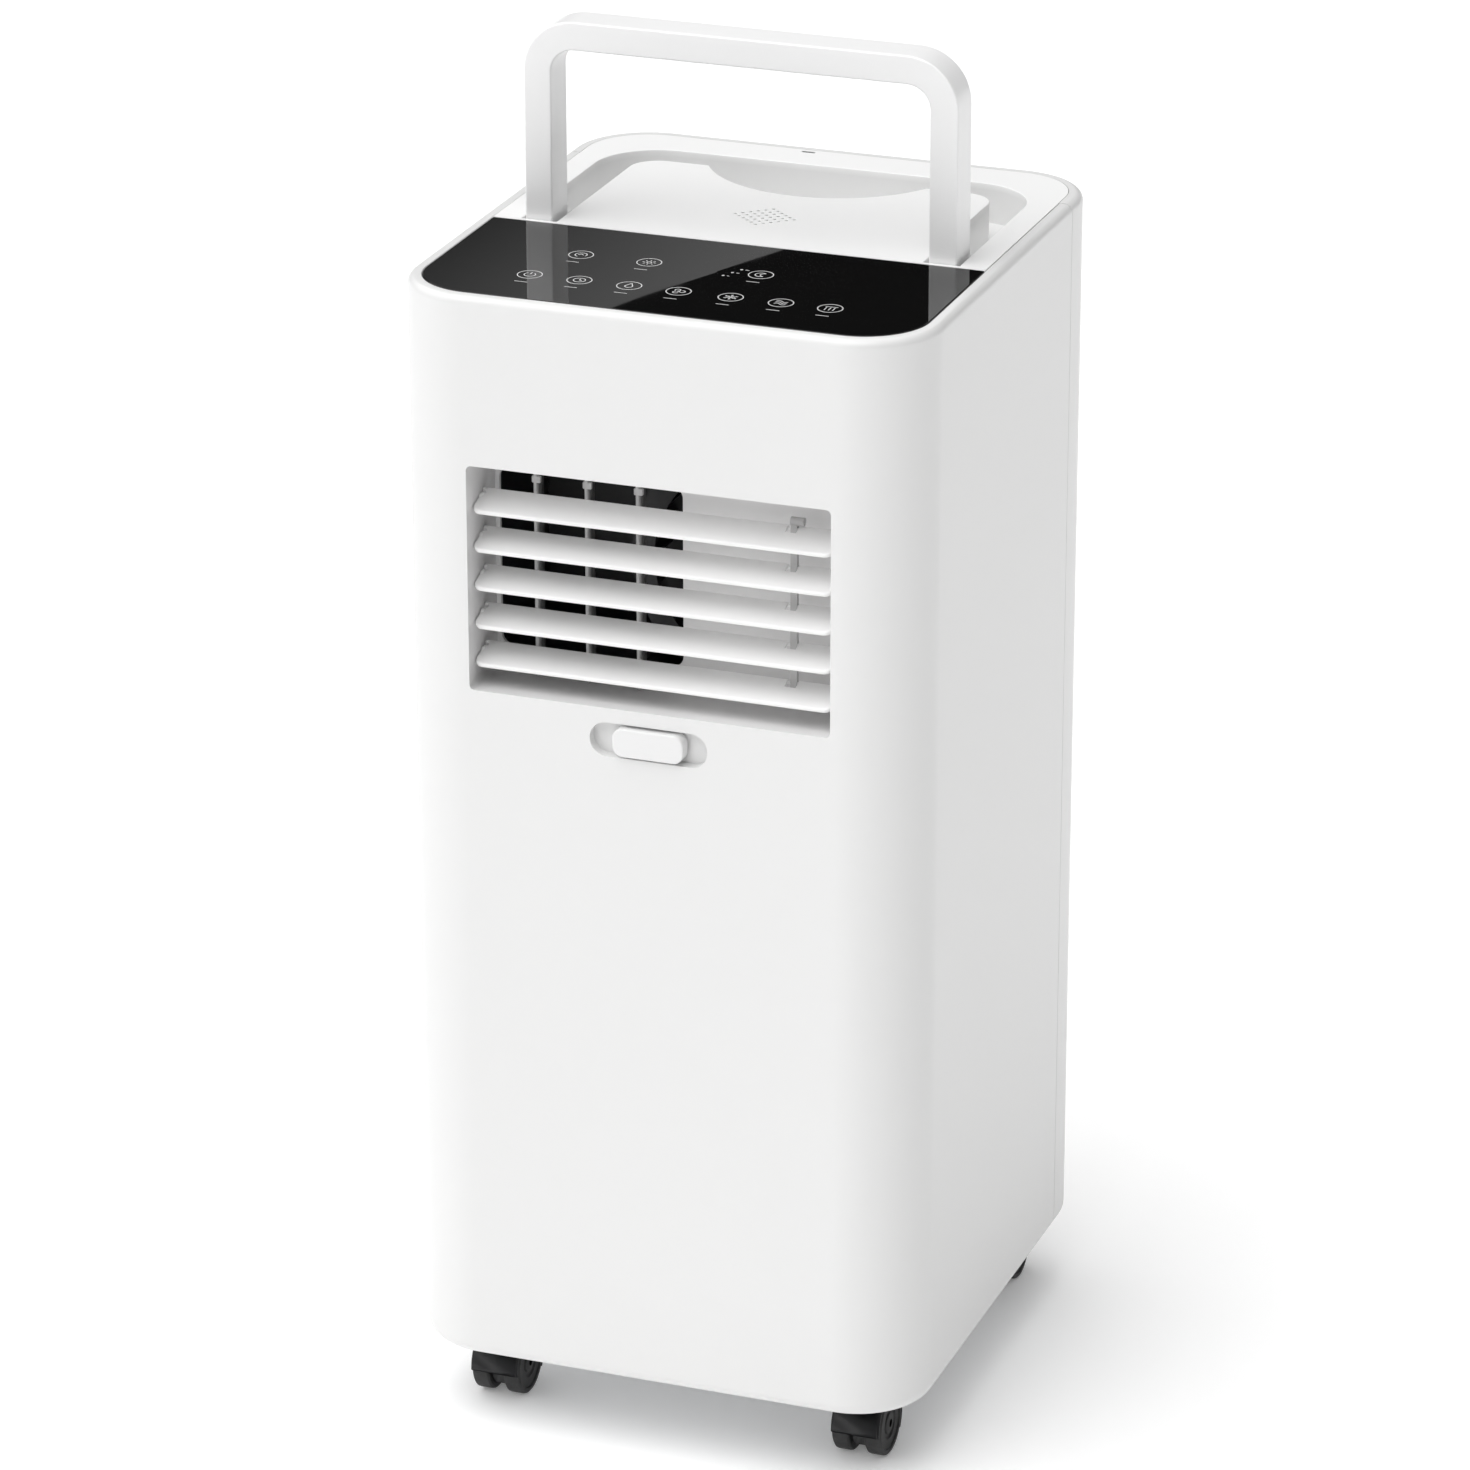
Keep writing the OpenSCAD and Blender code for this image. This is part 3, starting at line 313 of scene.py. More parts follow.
# a socket that takes part in sums; each sum adds its Math node
class Wire:
    def __init__(self, finish, socket):
        self.finish = finish
        self.socket = socket

    def __add__(self, other):
        return self.finish.sum("ADD", self, other)

    def __radd__(self, other):
        return self.finish.sum("ADD", other, self)

    def __sub__(self, other):
        return self.finish.sum("SUBTRACT", self, other)

    def __rsub__(self, other):
        return self.finish.sum("SUBTRACT", other, self)

    def __rmul__(self, other):
        return self.finish.sum("MULTIPLY", other, self)


class Finish:
    def __init__(self, name):
        self.material = bpy.data.materials.new(name)
        self.material.use_nodes = True
        self.tree = self.material.node_tree
        self.tree.nodes.clear()
        self.place = self.node("TexCoord", out="Object")

    def node(self, kind, settings=(), inputs=(), out=0):
        made = self.tree.nodes.new("ShaderNode" + kind)
        for key, value in dict(settings).items():
            if key == "stops":
                for stop, (at, grey) in zip(made.color_ramp.elements, value):
                    stop.position = at
                    stop.color = (grey, grey, grey, 1)
            else:
                setattr(made, key, value)
        for key, value in dict(inputs).items():
            socket = made.inputs[key]
            if isinstance(value, Wire):
                self.tree.links.new(value.socket, socket)
            else:
                socket.default_value = value
        return Wire(self, made.outputs[out])

    def sum(self, kind, a, b):
        return self.node("Math", {"operation": kind}, {0: a, 1: b})

    def noise(self, scale, detail=2.0, rough=0.5):
        return self.node("TexNoise", {}, {"Vector": self.place, "Scale": scale, "Detail": detail,
                                          "Roughness": rough}, "Fac")

    def ramp(self, value, start, end):
        # from one grey at its place to another at its place
        return self.node("ValToRGB", {"stops": (start, end)}, {"Fac": value})

    def mixed(self, factor, a, b):
        return self.node("Mix", {"data_type": "RGBA"}, {0: factor, 6: a, 7: b}, 2)

    def bump(self, height, distance):
        return self.node("Bump", {}, {"Height": height, "Distance": distance, "Strength": 1.0})

    def along(self, axis):
        return self.node("SeparateXYZ", {}, {0: self.place}, axis)

    def surface(self, inputs):
        shader = self.node("BsdfPrincipled", {}, inputs)
        self.end(shader)
        return self.material

    def end(self, shader):
        output = self.tree.nodes.new("ShaderNodeOutputMaterial")
        self.tree.links.new(shader.socket, output.inputs["Surface"])


def shade(tint, factor=1.0):
    tint = (tint, tint, tint) if isinstance(tint, (int, float)) else tint
    return (tint[0] * factor, tint[1] * factor, tint[2] * factor, 1)


def mouldedPlastic(name, tint, rough, grain=900, grainDepth=0.00002, drift=0.02, ior=1.46, coat=0.0):
    f = Finish(name)
    cloud = f.ramp(f.noise(7, 3), (0.35, 0.0), (0.65, 1.0))
    specks = f.noise(grain, 2)
    flow = f.noise(38, 2)
    return f.surface({"Base Color": f.mixed(cloud, shade(tint, 1 - drift), shade(tint)),
                      "Roughness": rough - 0.03 + 0.04 * cloud + 0.04 * specks,
                      "Normal": f.bump(specks + 0.6 * flow, grainDepth),
                      "IOR": ior, "Coat Weight": coat, "Coat Roughness": 0.12})


def glossCase(name, tint, shadedBelow=None):
    # glossy moulding: faint flow waves under a clear top layer, a little dust near the floor, and painted
    # shade under shadedBelow when it is given
    f = Finish(name)
    cloud = f.ramp(f.noise(5, 3), (0.3, 0.0), (0.7, 1.0))
    wave = f.noise(16, 1)
    fine = f.noise(1100, 2)
    dust = f.ramp(f.along("Z") + 0.02 * f.noise(60, 4), (0.05, 1.0), (0.12, 0.0))
    clean = f.mixed(cloud, shade(tint, 0.992), shade(tint))
    if shadedBelow is not None:
        # painted shade: what lies more than a millimetre under this height, such as the deck's channel, is
        # painted a slightly darker shade
        starts, full = 0.0004, 0.0014
        paintedChannelShade = f.ramp(f.along("Z") - (shadedBelow - 0.5), (0.5 - full, 1.0), (0.5 - starts, 0.0))
        clean = f.mixed(paintedChannelShade, clean, shade(tint, 0.84))
    return f.surface({"Base Color": f.mixed(0.06 * dust, clean, shade((0.62, 0.6, 0.57))),
                      "Roughness": 0.3 + 0.04 * cloud + 0.12 * dust + 0.03 * fine,
                      "Normal": f.bump(wave + 0.08 * fine, 0.00006),
                      "IOR": 1.46, "Coat Weight": 0.25, "Coat Roughness": 0.1})


def panelGlass(name):
    # black gloss with a thin smear of finger marks and some fine dust
    f = Finish(name)
    smear = f.ramp(f.noise(22, 5, 0.6), (0.45, 0.0), (0.75, 1.0))
    dots = f.ramp(f.noise(2400, 1), (0.72, 0.0), (0.78, 1.0))
    return f.surface({"Base Color": f.mixed(dots, shade(0.006), shade(0.014)),
                      "Roughness": 0.004 + 0.012 * smear + 0.08 * dots,
                      "IOR": 1.5, "Coat Weight": 0.0})


def printedInk(name, tint):
    f = Finish(name)
    worn = f.ramp(f.noise(3200, 3), (0.3, 0.0), (0.5, 1.0))
    return f.surface({"Base Color": f.mixed(worn, shade(tint, 0.72), shade(tint)),
                      "Roughness": 0.55 - 0.1 * worn, "Normal": f.bump(worn, 0.00001)})


def metal(name, tint, rough, streak=700):
    f = Finish(name)
    stretch = f.node("Mapping", {}, {"Vector": f.place, "Scale": (1, 1, 0.06)})
    lines = f.node("TexNoise", {}, {"Vector": stretch, "Scale": streak, "Detail": 3}, "Fac")
    stain = f.ramp(f.noise(30, 4), (0.4, 0.0), (0.7, 1.0))
    return f.surface({"Base Color": f.mixed(stain, shade(tint), shade(tint, 0.86)),
                      "Metallic": 1.0, "Roughness": rough + 0.12 * lines + 0.06 * stain,
                      "Normal": f.bump(lines, 0.00002)})


def finMetal(name):
    # packed fins: fine upright ridges across the block; the dark bands between them are painted shade in the
    # gaps
    f = Finish(name)
    ridges = f.node("TexWave", {"wave_type": "BANDS", "bands_direction": "X"},
                    {"Vector": f.place, "Scale": 180.0, "Distortion": 0.3}, "Fac")
    stain = f.ramp(f.noise(18, 4), (0.4, 0.0), (0.7, 1.0))
    return f.surface({"Base Color": f.mixed(ridges, shade(0.22), shade(0.72)), "Metallic": 0.85,
                      "Roughness": 0.32 + 0.15 * stain, "Normal": f.bump(ridges, 0.0004)})


def shadedSidesGrey(name, tint, frontY):
    # painted shade: front edges keep the tint; from frontY the sides darken over 2 mm towards the back,
    # painted as the shade in the outlet's mouth
    f = Finish(name)
    paintedSideShade = f.ramp(f.along("Y") - (frontY - 0.5), (0.5, 0.0), (0.502, 1.0))
    specks = f.noise(900, 2)
    return f.surface({"Base Color": f.mixed(paintedSideShade, shade(tint), shade(tint, 0.16)),
                      "Roughness": 0.42 + 0.06 * specks, "Normal": f.bump(specks, 0.00002)})


def rubber(name, tint):
    f = Finish(name)
    grit = f.noise(1500, 3)
    scuff = f.ramp(f.noise(60, 5, 0.65), (0.5, 0.0), (0.72, 1.0))
    return f.surface({"Base Color": f.mixed(0.35 * scuff, shade(tint), shade(0.09)),
                      "Roughness": 0.52 + 0.14 * grit + 0.12 * scuff, "Normal": f.bump(grit, 0.00005)})


def boardGreen(name):
    f = Finish(name)
    tracks = f.node("TexBrick", {"offset": 0.37},
                    {"Vector": f.place, "Scale": 160.0, "Mortar Size": 0.06}, "Fac")
    return f.surface({"Base Color": f.mixed(tracks, (0.01, 0.09, 0.03, 1), (0.03, 0.2, 0.07, 1)),
                      "Roughness": 0.35 + 0.1 * f.noise(300), "Normal": f.bump(tracks, 0.00003)})


def filterWeave(name):
    f = Finish(name)
    waves = [f.node("TexWave", {"wave_type": "BANDS", "bands_direction": way},
                    {"Vector": f.place, "Scale": 250.0}, "Fac") for way in ("X", "Z")]
    net = f.sum("MAXIMUM", waves[0], waves[1])
    return f.surface({"Base Color": f.mixed(net, shade(0.012), shade(0.13)), "Roughness": 0.7 + 0.1 * net,
                      "Normal": f.bump(net, 0.0003)})


finish = {
    "case_white": glossCase("case white", (0.8, 0.8, 0.797)),
    "deck_white": glossCase("deck white", (0.97, 0.97, 0.967), caseTop),
    "handle_white": glossCase("handle white", (0.97, 0.97, 0.97)),
    "panel_glass": panelGlass("panel glass"),
    "circuit_green": boardGreen("circuit green"),
    "outlet_grey": mouldedPlastic("outlet grey", (0.78, 0.775, 0.775), 0.45),
    "louver_white": mouldedPlastic("louver white", (0.93, 0.927, 0.924), 0.4),
    "guide_grey": mouldedPlastic("guide grey", (0.5, 0.495, 0.495), 0.42),
    "knob_white": mouldedPlastic("knob white", (0.83, 0.83, 0.83), 0.3),
    "caster_black": mouldedPlastic("caster black", (0.012, 0.012, 0.013), 0.3, grain=1400),
    "wheel_black": rubber("wheel black", 0.016),
    "tray_grey": mouldedPlastic("tray grey", (0.55, 0.56, 0.57), 0.5),
    "compressor_black": mouldedPlastic("compressor black", (0.02, 0.02, 0.02), 0.28, grain=500),
    "rubber_black": rubber("rubber black", 0.02),
    "fin_aluminium": finMetal("fin aluminium"),
    "copper": metal("copper", (0.86, 0.42, 0.25), 0.24),
    "duct_black": mouldedPlastic("duct black", (0.014, 0.014, 0.015), 0.5),
    "steel": metal("steel", (0.62, 0.63, 0.64), 0.26),
    "splash_white": mouldedPlastic("splash white", (0.8, 0.8, 0.78), 0.45),
    "box_grey": mouldedPlastic("box grey", (0.5, 0.51, 0.52), 0.5),
    "capacitor_metal": metal("capacitor metal", (0.72, 0.73, 0.74), 0.3),
    "port_white": mouldedPlastic("port white", (0.8, 0.8, 0.8), 0.42),
    "grille_white": mouldedPlastic("grille white", (0.82, 0.82, 0.815), 0.4),
    "filter_mesh": filterWeave("filter mesh"),
}
ink = printedInk("panel ink", 0.8)
slotOf = {part["node"]: part["material_slot"] for part in frame["record"]["subparts"]}
for name, obj in nodes.items():
    obj.data.materials.clear()
    obj.data.materials.append(finish[slotOf[name]])
print("finishes made,", len(finish) + 1)


case = {"cornerR": 0.045, "wall": 0.003, "rim": 0.008, "rimSoft": 0.0009, "topR": 0.005, "bottomR": 0.008,
        "deckGap": 0.0004, "rimDepth": 0.007, "ledge": 0.014, "ledgeDepth": 0.004,
        "cornerSteps": 28, "edge": 0.0007}
deckWidth = caseWidth - 2 * (case["rim"] + case["deckGap"])
deckDepth = caseDepth - 2 * (case["rim"] + case["deckGap"])
deckRadius = case["cornerR"] - case["rim"] - case["deckGap"]
seamFront = high("front_shell").y


def caseTube():
    r = case["cornerR"]
    ledgeTop = caseTop - case["rimDepth"]
    ledgeLow = ledgeTop - case["ledgeDepth"]
    profile = arc(r - case["bottomR"], caseLow + case["bottomR"], case["bottomR"], -90, 0, 8)
    profile += arc(r - case["topR"], caseTop - case["topR"], case["topR"], 0, 75, 6)
    rimSoft = case["rimSoft"]
    profile += arc(r - case["rim"] + rimSoft, caseTop - rimSoft, rimSoft, 90, 180, 3)
    profile += [(r - case["rim"], ledgeTop), (r - case["ledge"], ledgeTop), (r - case["ledge"], ledgeLow),
                (r - case["wall"], ledgeLow), (r - case["wall"], caseLow + case["bottomR"]),
                (r - case["bottomR"], caseLow + case["bottomR"])]
    return sweptRound(profile, caseWidth, caseDepth, r, case["cornerSteps"])


vent = {"width": 0.211, "radius": 0.003, "lap": 0.005}  # the housing laps this far above and below it
ventZ = (low("outlet_housing").z + high("outlet_housing").z) / 2
ventHeight = high("outlet_housing").z - low("outlet_housing").z - 2 * vent["lap"]
slider = {"recessWidth": 0.069, "recessHeight": 0.020, "recessDepth": 0.0065, "border": 0.002,
          "floor": 0.002, "slotWidth": 0.038, "slotHeight": 0.007, "slotRadius": 0.002}
knobAt = middle("slider_knob")
recessBack = caseFront + slider["recessDepth"]


def frontShell():
    bm = halved(caseTube(), seamFront, keepBack=False)
    width, height = slider["recessWidth"], slider["recessHeight"]
    wide, tall = width + 2 * slider["border"], height + 2 * slider["border"]
    boss = xzPlate(0, knobAt.z, wide, tall, tall / 2, caseFront + case["wall"] / 2,
                   recessBack + slider["floor"], 16)
    bm = combined(bm, boss, "UNION")
    window = xzPlate(0, ventZ, vent["width"], ventHeight, vent["radius"], caseFront - past,
                     caseFront + past, 6)
    recess = xzPlate(0, knobAt.z, width, height, height / 2, caseFront - past, recessBack, 16)
    slot = xzPlate(0, knobAt.z, slider["slotWidth"], slider["slotHeight"], slider["slotRadius"], caseFront,
                   recessBack + past, 4)
    for opening in (window, recess, slot):
        bm = combined(bm, opening)
    return piece("case_front", bm, finish["case_white"], "case", ["front_shell"], case["edge"])


frontShell()
print("case front made")

softEdge = 0.0004  # on the smaller mouldings
piece("case_back", welded("rear_cover"), finish["case_white"], "case", ["rear_cover"],
      softEdge)
print("case back made")


# the deck's channel takes the folded handle, and its scoop takes the fingers
deck = {"plate": 0.004, "channelWidth": 0.021, "channelWall": 0.0025, "channelRadius": 0.038,
        "channelFromGlass": 0.0035, "channelFromBack": 0.0355, "scoopRadius": 0.075, "scoopReach": 0.039,
        "lip": 0.0005, "lap": 0.002, "holeRadius": 0.0011, "holePitch": 0.005, "holeRows": 6,
        "holeAside": 0.002, "speakerBehind": 0.082, "slotAside": 0.021, "slotSet": 0.004, "slotWide": 0.0085,
        "slotDeep": 0.0026, "slotDepth": 0.002, "linerSink": 0.0021, "linerHeight": 0.0017,
        "linerFit": 0.00005}
glassBack = high("control_glass").y
deckFront = glassBack + case["deckGap"]
channelOut = high("handle_pins").x - deck["channelWall"]
channelFront = glassBack + deck["channelFromGlass"]
channelEnd = caseBack - deck["channelFromBack"]
channelFloor = low("top_deck").z + deck["channelWall"]
scoopY = channelEnd - deck["channelWidth"] - deck["scoopReach"] + deck["scoopRadius"]


def channelBlock(inset, z, height, steps=16):
    # outline of the channel, with its two back corners round; a positive inset shrinks it
    halfWidth = channelOut - inset
    near = channelFront + min(inset, 0)
    far = channelEnd - inset
    bm = xyPlate(2 * halfWidth, far - near, deck["channelRadius"] - inset, height, steps, corners=(2, 3))
    return moved(bm, (0, (near + far) / 2, z))


def platform(shrink, z, height):
    bm = channelBlock(deck["channelWidth"] + shrink, z, height)
    front = [v for v in bm.verts if v.co.y < channelFront + slack]
    bmesh.ops.translate(bm, vec=(0, -deck["channelWidth"], 0), verts=front)
    scoop = rod((0, scoopY, z - past), (0, scoopY, z + height + past), deck["scoopRadius"] + shrink, 128)
    return combined(bm, scoop)


def rimSlot(z, height, inset):
    # a short slot in the deck, close to the back rim
    slotAt = (-deck["slotAside"], caseBack - case["rim"] - case["deckGap"] - deck["slotSet"], z)
    wide, deep = deck["slotWide"] - 2 * inset, deck["slotDeep"] - 2 * inset
    return moved(xyPlate(wide, deep, deep / 2, height, 8), slotAt)


def speakerHoles():
    # a diamond of small holes: rows run slantwise both ways
    rows, pitch = deck["holeRows"], deck["holePitch"]
    middleY = channelEnd - deck["channelWidth"] - deck["speakerBehind"]
    holes = []
    for i in range(rows):
        for j in range(rows):
            x = (i - j) * 0.7 * pitch - deck["holeAside"]
            y = middleY + (i + j - rows + 1) * 0.6 * pitch
            holes.append(rod((x, y, caseTop - past), (x, y, caseTop + past), deck["holeRadius"], 10))
    return together(*holes)


def topDeck():
    top = moved(xyPlate(deckWidth, deckDepth, deckRadius, deck["plate"], case["cornerSteps"]),
                (0, 0, caseTop - deck["plate"]))
    top = halved(top, deckFront, keepBack=True)
    shelf = moved(xyPlate(deckWidth, deckDepth, deckRadius, deck["plate"], case["cornerSteps"]),
                  (0, 0, caseTop - case["rimDepth"]))
    shelf = halved(shelf, deckFront + deck["lap"], keepBack=False)
    wall, deepest = deck["channelWall"], caseTop - channelFloor
    tub = channelBlock(-wall, channelFloor - wall, deepest + wall - slack)
    bm = combined(combined(top, shelf, "UNION"), tub, "UNION")
    deep = deepest + past
    pocket = combined(channelBlock(0, channelFloor, deep), platform(0, channelFloor - past, deep + 2 * past))
    bm = combined(bm, pocket)
    hollow = platform(wall, channelFloor - 2 * past, deepest + 2 * past - deck["plate"])
    bm = combined(bm, hollow)
    bmesh.ops.dissolve_limit(bm, angle_limit=radians(0.2), verts=bm.verts, edges=bm.edges, delimit={"NORMAL"})
    lips = [e for e in sharpEdges(bm) if min(v.co.z for v in e.verts) > caseTop - hair
            and max(abs(v.co.x) for v in e.verts) < channelOut + slack
            and max(v.co.y for v in e.verts) < channelEnd + slack
            and min(v.co.y for v in e.verts) > deckFront + slack]
    bm = bevelled(bm, lips, deck["lip"], 3)
    bm = combined(bm, speakerHoles())
    bm = combined(bm, rimSlot(caseTop - deck["slotDepth"], past, 0))
    return piece("deck", bm, finish["deck_white"], "case", ["top_deck"], angle=28)


topDeck()
liner = rimSlot(caseTop - deck["linerSink"], deck["linerHeight"], -deck["linerFit"])
piece("rim_slot", liner, finish["duct_black"], "case")
print("deck made")

glass = {"thickness": 0.003, "edge": 0.0005}


def panelPlate():
    bm = moved(xyPlate(deckWidth, deckDepth, deckRadius, glass["thickness"], case["cornerSteps"]),
               (0, 0, caseTop - glass["thickness"]))
    return halved(bm, glassBack, keepBack=False)


piece("panel_glass", panelPlate(), finish["panel_glass"], "case", ["control_glass"],
      glass["edge"])

# marks on the glass: two rows by their places along it, and three small lights beside their lines
icons = {"ring": 0.0071, "line": 0.0005, "raise": 0.00006, "sink": 0.0001,
         "lowerY": -0.1164, "upperY": -0.0740, "barDrop": 0.0132, "barWidth": 0.0075,
         "lower": {-0.086: "power", -0.057: "timer", -0.028: "drop", 0.0006: "fan", 0.0306: "snow",
                   0.0594: "waves", 0.0875: "louver"},
         "upper": {-0.0727: "up", -0.0326: "sun", 0.0325: "moon"},
         "lights": ((0.0135, -0.082), (0.0165, -0.0755), (0.0195, -0.069)), "lightRadius": 0.0008}
inkMesh = bmesh.new()


def inkArc(x, y, radius, start, end, line=icons["line"]):
    a = radians(start)
    verts = [inkMesh.verts.new((x + r * cos(a), y + r * sin(a), 0)) for r in (radius - line, radius)]
    edge = inkMesh.edges.new(verts)
    span = end - start
    steps = max(6, int(abs(span) / 9))
    bmesh.ops.spin(inkMesh, geom=[*verts, edge], cent=(x, y, 0), axis=(0, 0, 1), angle=radians(span),
                   steps=steps, use_merge=abs(span) >= 360)


def inkLine(x0, y0, x1, y1, line=icons["line"]):
    along = Vector((x1 - x0, y1 - y0, 0))
    side = Vector((-along.y, along.x, 0)).normalized() * line / 2
    start = Vector((x0, y0, 0))
    corners = (start - side, start + along - side, start + along + side, start + side)
    inkMesh.faces.new([inkMesh.verts.new(corner) for corner in corners])


def inkSpokes(x, y, count, inner, outer, turn=0):
    for i in range(count):
        a = radians(turn + 360 * i / count)
        inkLine(x + inner * cos(a), y + inner * sin(a), x + outer * cos(a), y + outer * sin(a))


# each mark is drawn around its ring's middle, x and y, with lengths in metres
def drawPower(x, y):
    inkArc(x, y, 0.0034, 125, 415)
    inkLine(x, y + 0.0006, x, y + 0.0042)


def drawTimer(x, y):
    inkArc(x, y, 0.0036, 0, 360)
    inkLine(x, y, x, y + 0.0023)
    inkLine(x, y, x + 0.0018, y - 0.0009)


def drawDrop(x, y):
    inkArc(x, y - 0.0009, 0.0024, -215, 35)
    inkLine(x - 0.0018, y + 0.0004, x, y + 0.0042)
    inkLine(x + 0.0018, y + 0.0004, x, y + 0.0042)


def drawFan(x, y):
    inkArc(x, y, 0.0008, 0, 360)
    for turn in range(0, 360, 120):
        a = radians(turn)
        inkArc(x + 0.0022 * cos(a), y + 0.0022 * sin(a), 0.0018, turn - 150, turn + 110)


def drawSnow(x, y):
    inkSpokes(x, y, 6, 0, 0.0041, 30)
    for turn in range(30, 390, 60):
        a = radians(turn)
        inkSpokes(x + 0.0026 * cos(a), y + 0.0026 * sin(a), 2, 0, 0.0012, turn + 45)


def drawWaves(x, y):
    for row in (-0.0022, 0, 0.0022):
        inkArc(x - 0.0017, y + row - 0.0006, 0.0019, 20, 160)
        inkArc(x + 0.0017, y + row + 0.0006, 0.0019, 200, 340)


def drawLouver(x, y):
    inkLine(x - 0.0036, y + 0.0026, x + 0.0036, y + 0.0026)
    for across in (-0.0024, 0, 0.0024):
        inkLine(x + across, y + 0.0014, x + across, y - 0.0034)


def drawUp(x, y):
    inkArc(x, y, 0.0036, -30, 250)
    inkLine(x - 0.0016, y - 0.0004, x, y + 0.0012)
    inkLine(x + 0.0016, y - 0.0004, x, y + 0.0012)


def drawSun(x, y):
    inkArc(x, y, 0.0016, 0, 360)
    inkSpokes(x, y, 8, 0.0025, 0.0039)


def drawMoon(x, y):
    inkArc(x, y, 0.0035, 50, 310)
    inkArc(x + 0.0022, y, 0.0027, 100, 260)


drawings = {"power": drawPower, "timer": drawTimer, "drop": drawDrop, "fan": drawFan, "snow": drawSnow,
            "waves": drawWaves, "louver": drawLouver, "up": drawUp, "sun": drawSun, "moon": drawMoon}


def panelIcons():
    half = icons["barWidth"] / 2
    for row in ("lower", "upper"):
        y = icons[row + "Y"]
        for x, kind in icons[row].items():
            drawings[kind](x, y)
            inkArc(x, y, icons["ring"], 0, 360)
            inkLine(x - half, y - icons["barDrop"], x + half, y - icons["barDrop"])
    for i, (x, y) in enumerate(icons["lights"]):
        inkArc(x, y, icons["lightRadius"], 0, 360)
        inkLine(x + 0.0022, y, x + 0.0036 + 0.0004 * i, y)
    raised(inkMesh, (0, 0, icons["raise"] + icons["sink"]))
    moved(inkMesh, (0, 0, caseTop - icons["sink"]))
    return piece("panel_icons", facingOut(inkMesh), ink, "case")


panelIcons()
print("control panel made")


handle = {"bar": 0.0162, "grown": 0.001, "cornerRadius": 0.03, "soft": 0.0011, "steps": 20,
          "pinRadius": 0.0035, "boreGap": 0.00006}


def carryHandle():
    lowest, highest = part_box("handle")
    pivot = jointAt("handle_fold")
    bar, r = handle["bar"], handle["cornerRadius"]
    outerX = highest.x + handle["grown"]
    bendZ = highest.z - r
    bm = bmesh.new()
    verts = [bm.verts.new((x, lowest.y, pivot.z)) for x in (outerX - bar, outerX)]
    ring = [*verts, bm.edges.new(verts)]

    def bent(geom, x):
        spun = bmesh.ops.spin(bm, geom=geom, cent=(x, lowest.y, bendZ), axis=(0, -1, 0), angle=pi / 2,
                              steps=handle["steps"])
        return spun["geom_last"]

    ring = pulled(bm, ring, (0, 0, bendZ - pivot.z))
    ring = bent(ring, outerX - r)
    ring = pulled(bm, ring, (-2 * (outerX - r), 0, 0))
    ring = bent(ring, -(outerX - r))
    pulled(bm, ring, (0, 0, pivot.z - bendZ))
    facingOut(raised(merged(bm), (0, highest.y - lowest.y, 0)))
    outline = [e for e in sharpEdges(bm, 60) if max(v.co.z for v in e.verts) > pivot.z + slack]
    bm = bevelled(bm, outline, handle["soft"], 4)
    footRadius = highest.y - pivot.y
    for side in (-1, 1):
        x = side * (outerX - bar / 2)
        foot = rod((x - bar / 2, pivot.y, pivot.z), (x + bar / 2, pivot.y, pivot.z), footRadius, 48)
        bm = combined(bm, foot, "UNION")
        hole = rod((x - bar, pivot.y, pivot.z), (x + bar, pivot.y, pivot.z),
                   handle["pinRadius"] + handle["boreGap"], 32)
        bm = combined(bm, hole)
    return piece("carry_handle", bm, finish["handle_white"], "handle", ["handle"], angle=28)


carryHandle()
print("handle made")


piece("outlet_frame", welded("outlet_housing"), finish["outlet_grey"], "case",
      ["outlet_housing"], softEdge)

# front and back are measured from the pivot, and the blade has its crank pin in a notch at its back
louver = {"tilt": 20, "crankTilt": 19, "front": 0.0142, "back": 0.0078, "thick": 0.0018, "nose": 0.0014,
          "corner": 0.0048, "length": 0.2086, "shift": -0.0006, "lift": 0.0005, "pinRadius": 0.0012,
          "notchHalf": 0.0032, "notchFront": 0.001, "crank": 0.0064, "crankPinRadius": 0.0009,
          "crankPinOut": 0.0018, "clipRadius": 0.0021, "clipIn": 0.001, "clipOut": 0.0009,
          "slitHalf": 0.0012, "slitFront": 0.0026, "slitBack": 0.0042, "toothHalf": 0.0009,
          "toothFront": 0.0044, "toothBack": 0.0066, "toothLow": 0.0012, "toothHigh": 0.0022,
          "toothSoft": 0.0004, "cutHalf": 0.004}
louverNames = sorted(n for n in nodes if n.startswith("louver_") and n != "louver_link")
linkX = middle("louver_link").x


def louverSection():
    # blade's outline from front to back: a full round nose that thins to the back edge
    front, back, nose, half = louver["front"], louver["back"], louver["nose"], louver["thick"] / 2
    thinned = half * 0.9
    points = arc(-front + nose, 0, nose, 70, 290, 10)
    points += [(-front + 4.2 * nose, -half), (back - half, -thinned)]
    points += arc(back - half, 0, thinned, -60, 60, 4)
    return points + [(back - half, thinned), (-front + 4.2 * nose, half)]


def louverStations():
    # places along the blade, each with how much of its depth is left at the rounded corners
    half, corner, steps = louver["length"] / 2, louver["corner"], 7
    depth = louver["front"] + louver["back"]
    leftEnd = []
    for i in range(steps + 1):
        turn = radians(90 * i / steps)
        leftEnd.append((-half + corner * (1 - cos(turn)), 1 - corner * (1 - sin(turn)) / depth))
    return leftEnd + [(-x, share) for x, share in reversed(leftEnd)]


def louverPlate():
    # the section swept along the blade, with its two ends closed
    bm = bmesh.new()
    backEdge = louver["back"]
    rings = [[bm.verts.new((x, backEdge - (backEdge - y) * share, z)) for y, z in louverSection()]
             for x, share in louverStations()]
    bm.faces.new(rings[0])
    bm.faces.new(rings[-1])
    for one, other in zip(rings, rings[1:]):
        for i in range(len(one)):
            bm.faces.new((one[i - 1], one[i], other[i], other[i - 1]))
    return facingOut(bm)


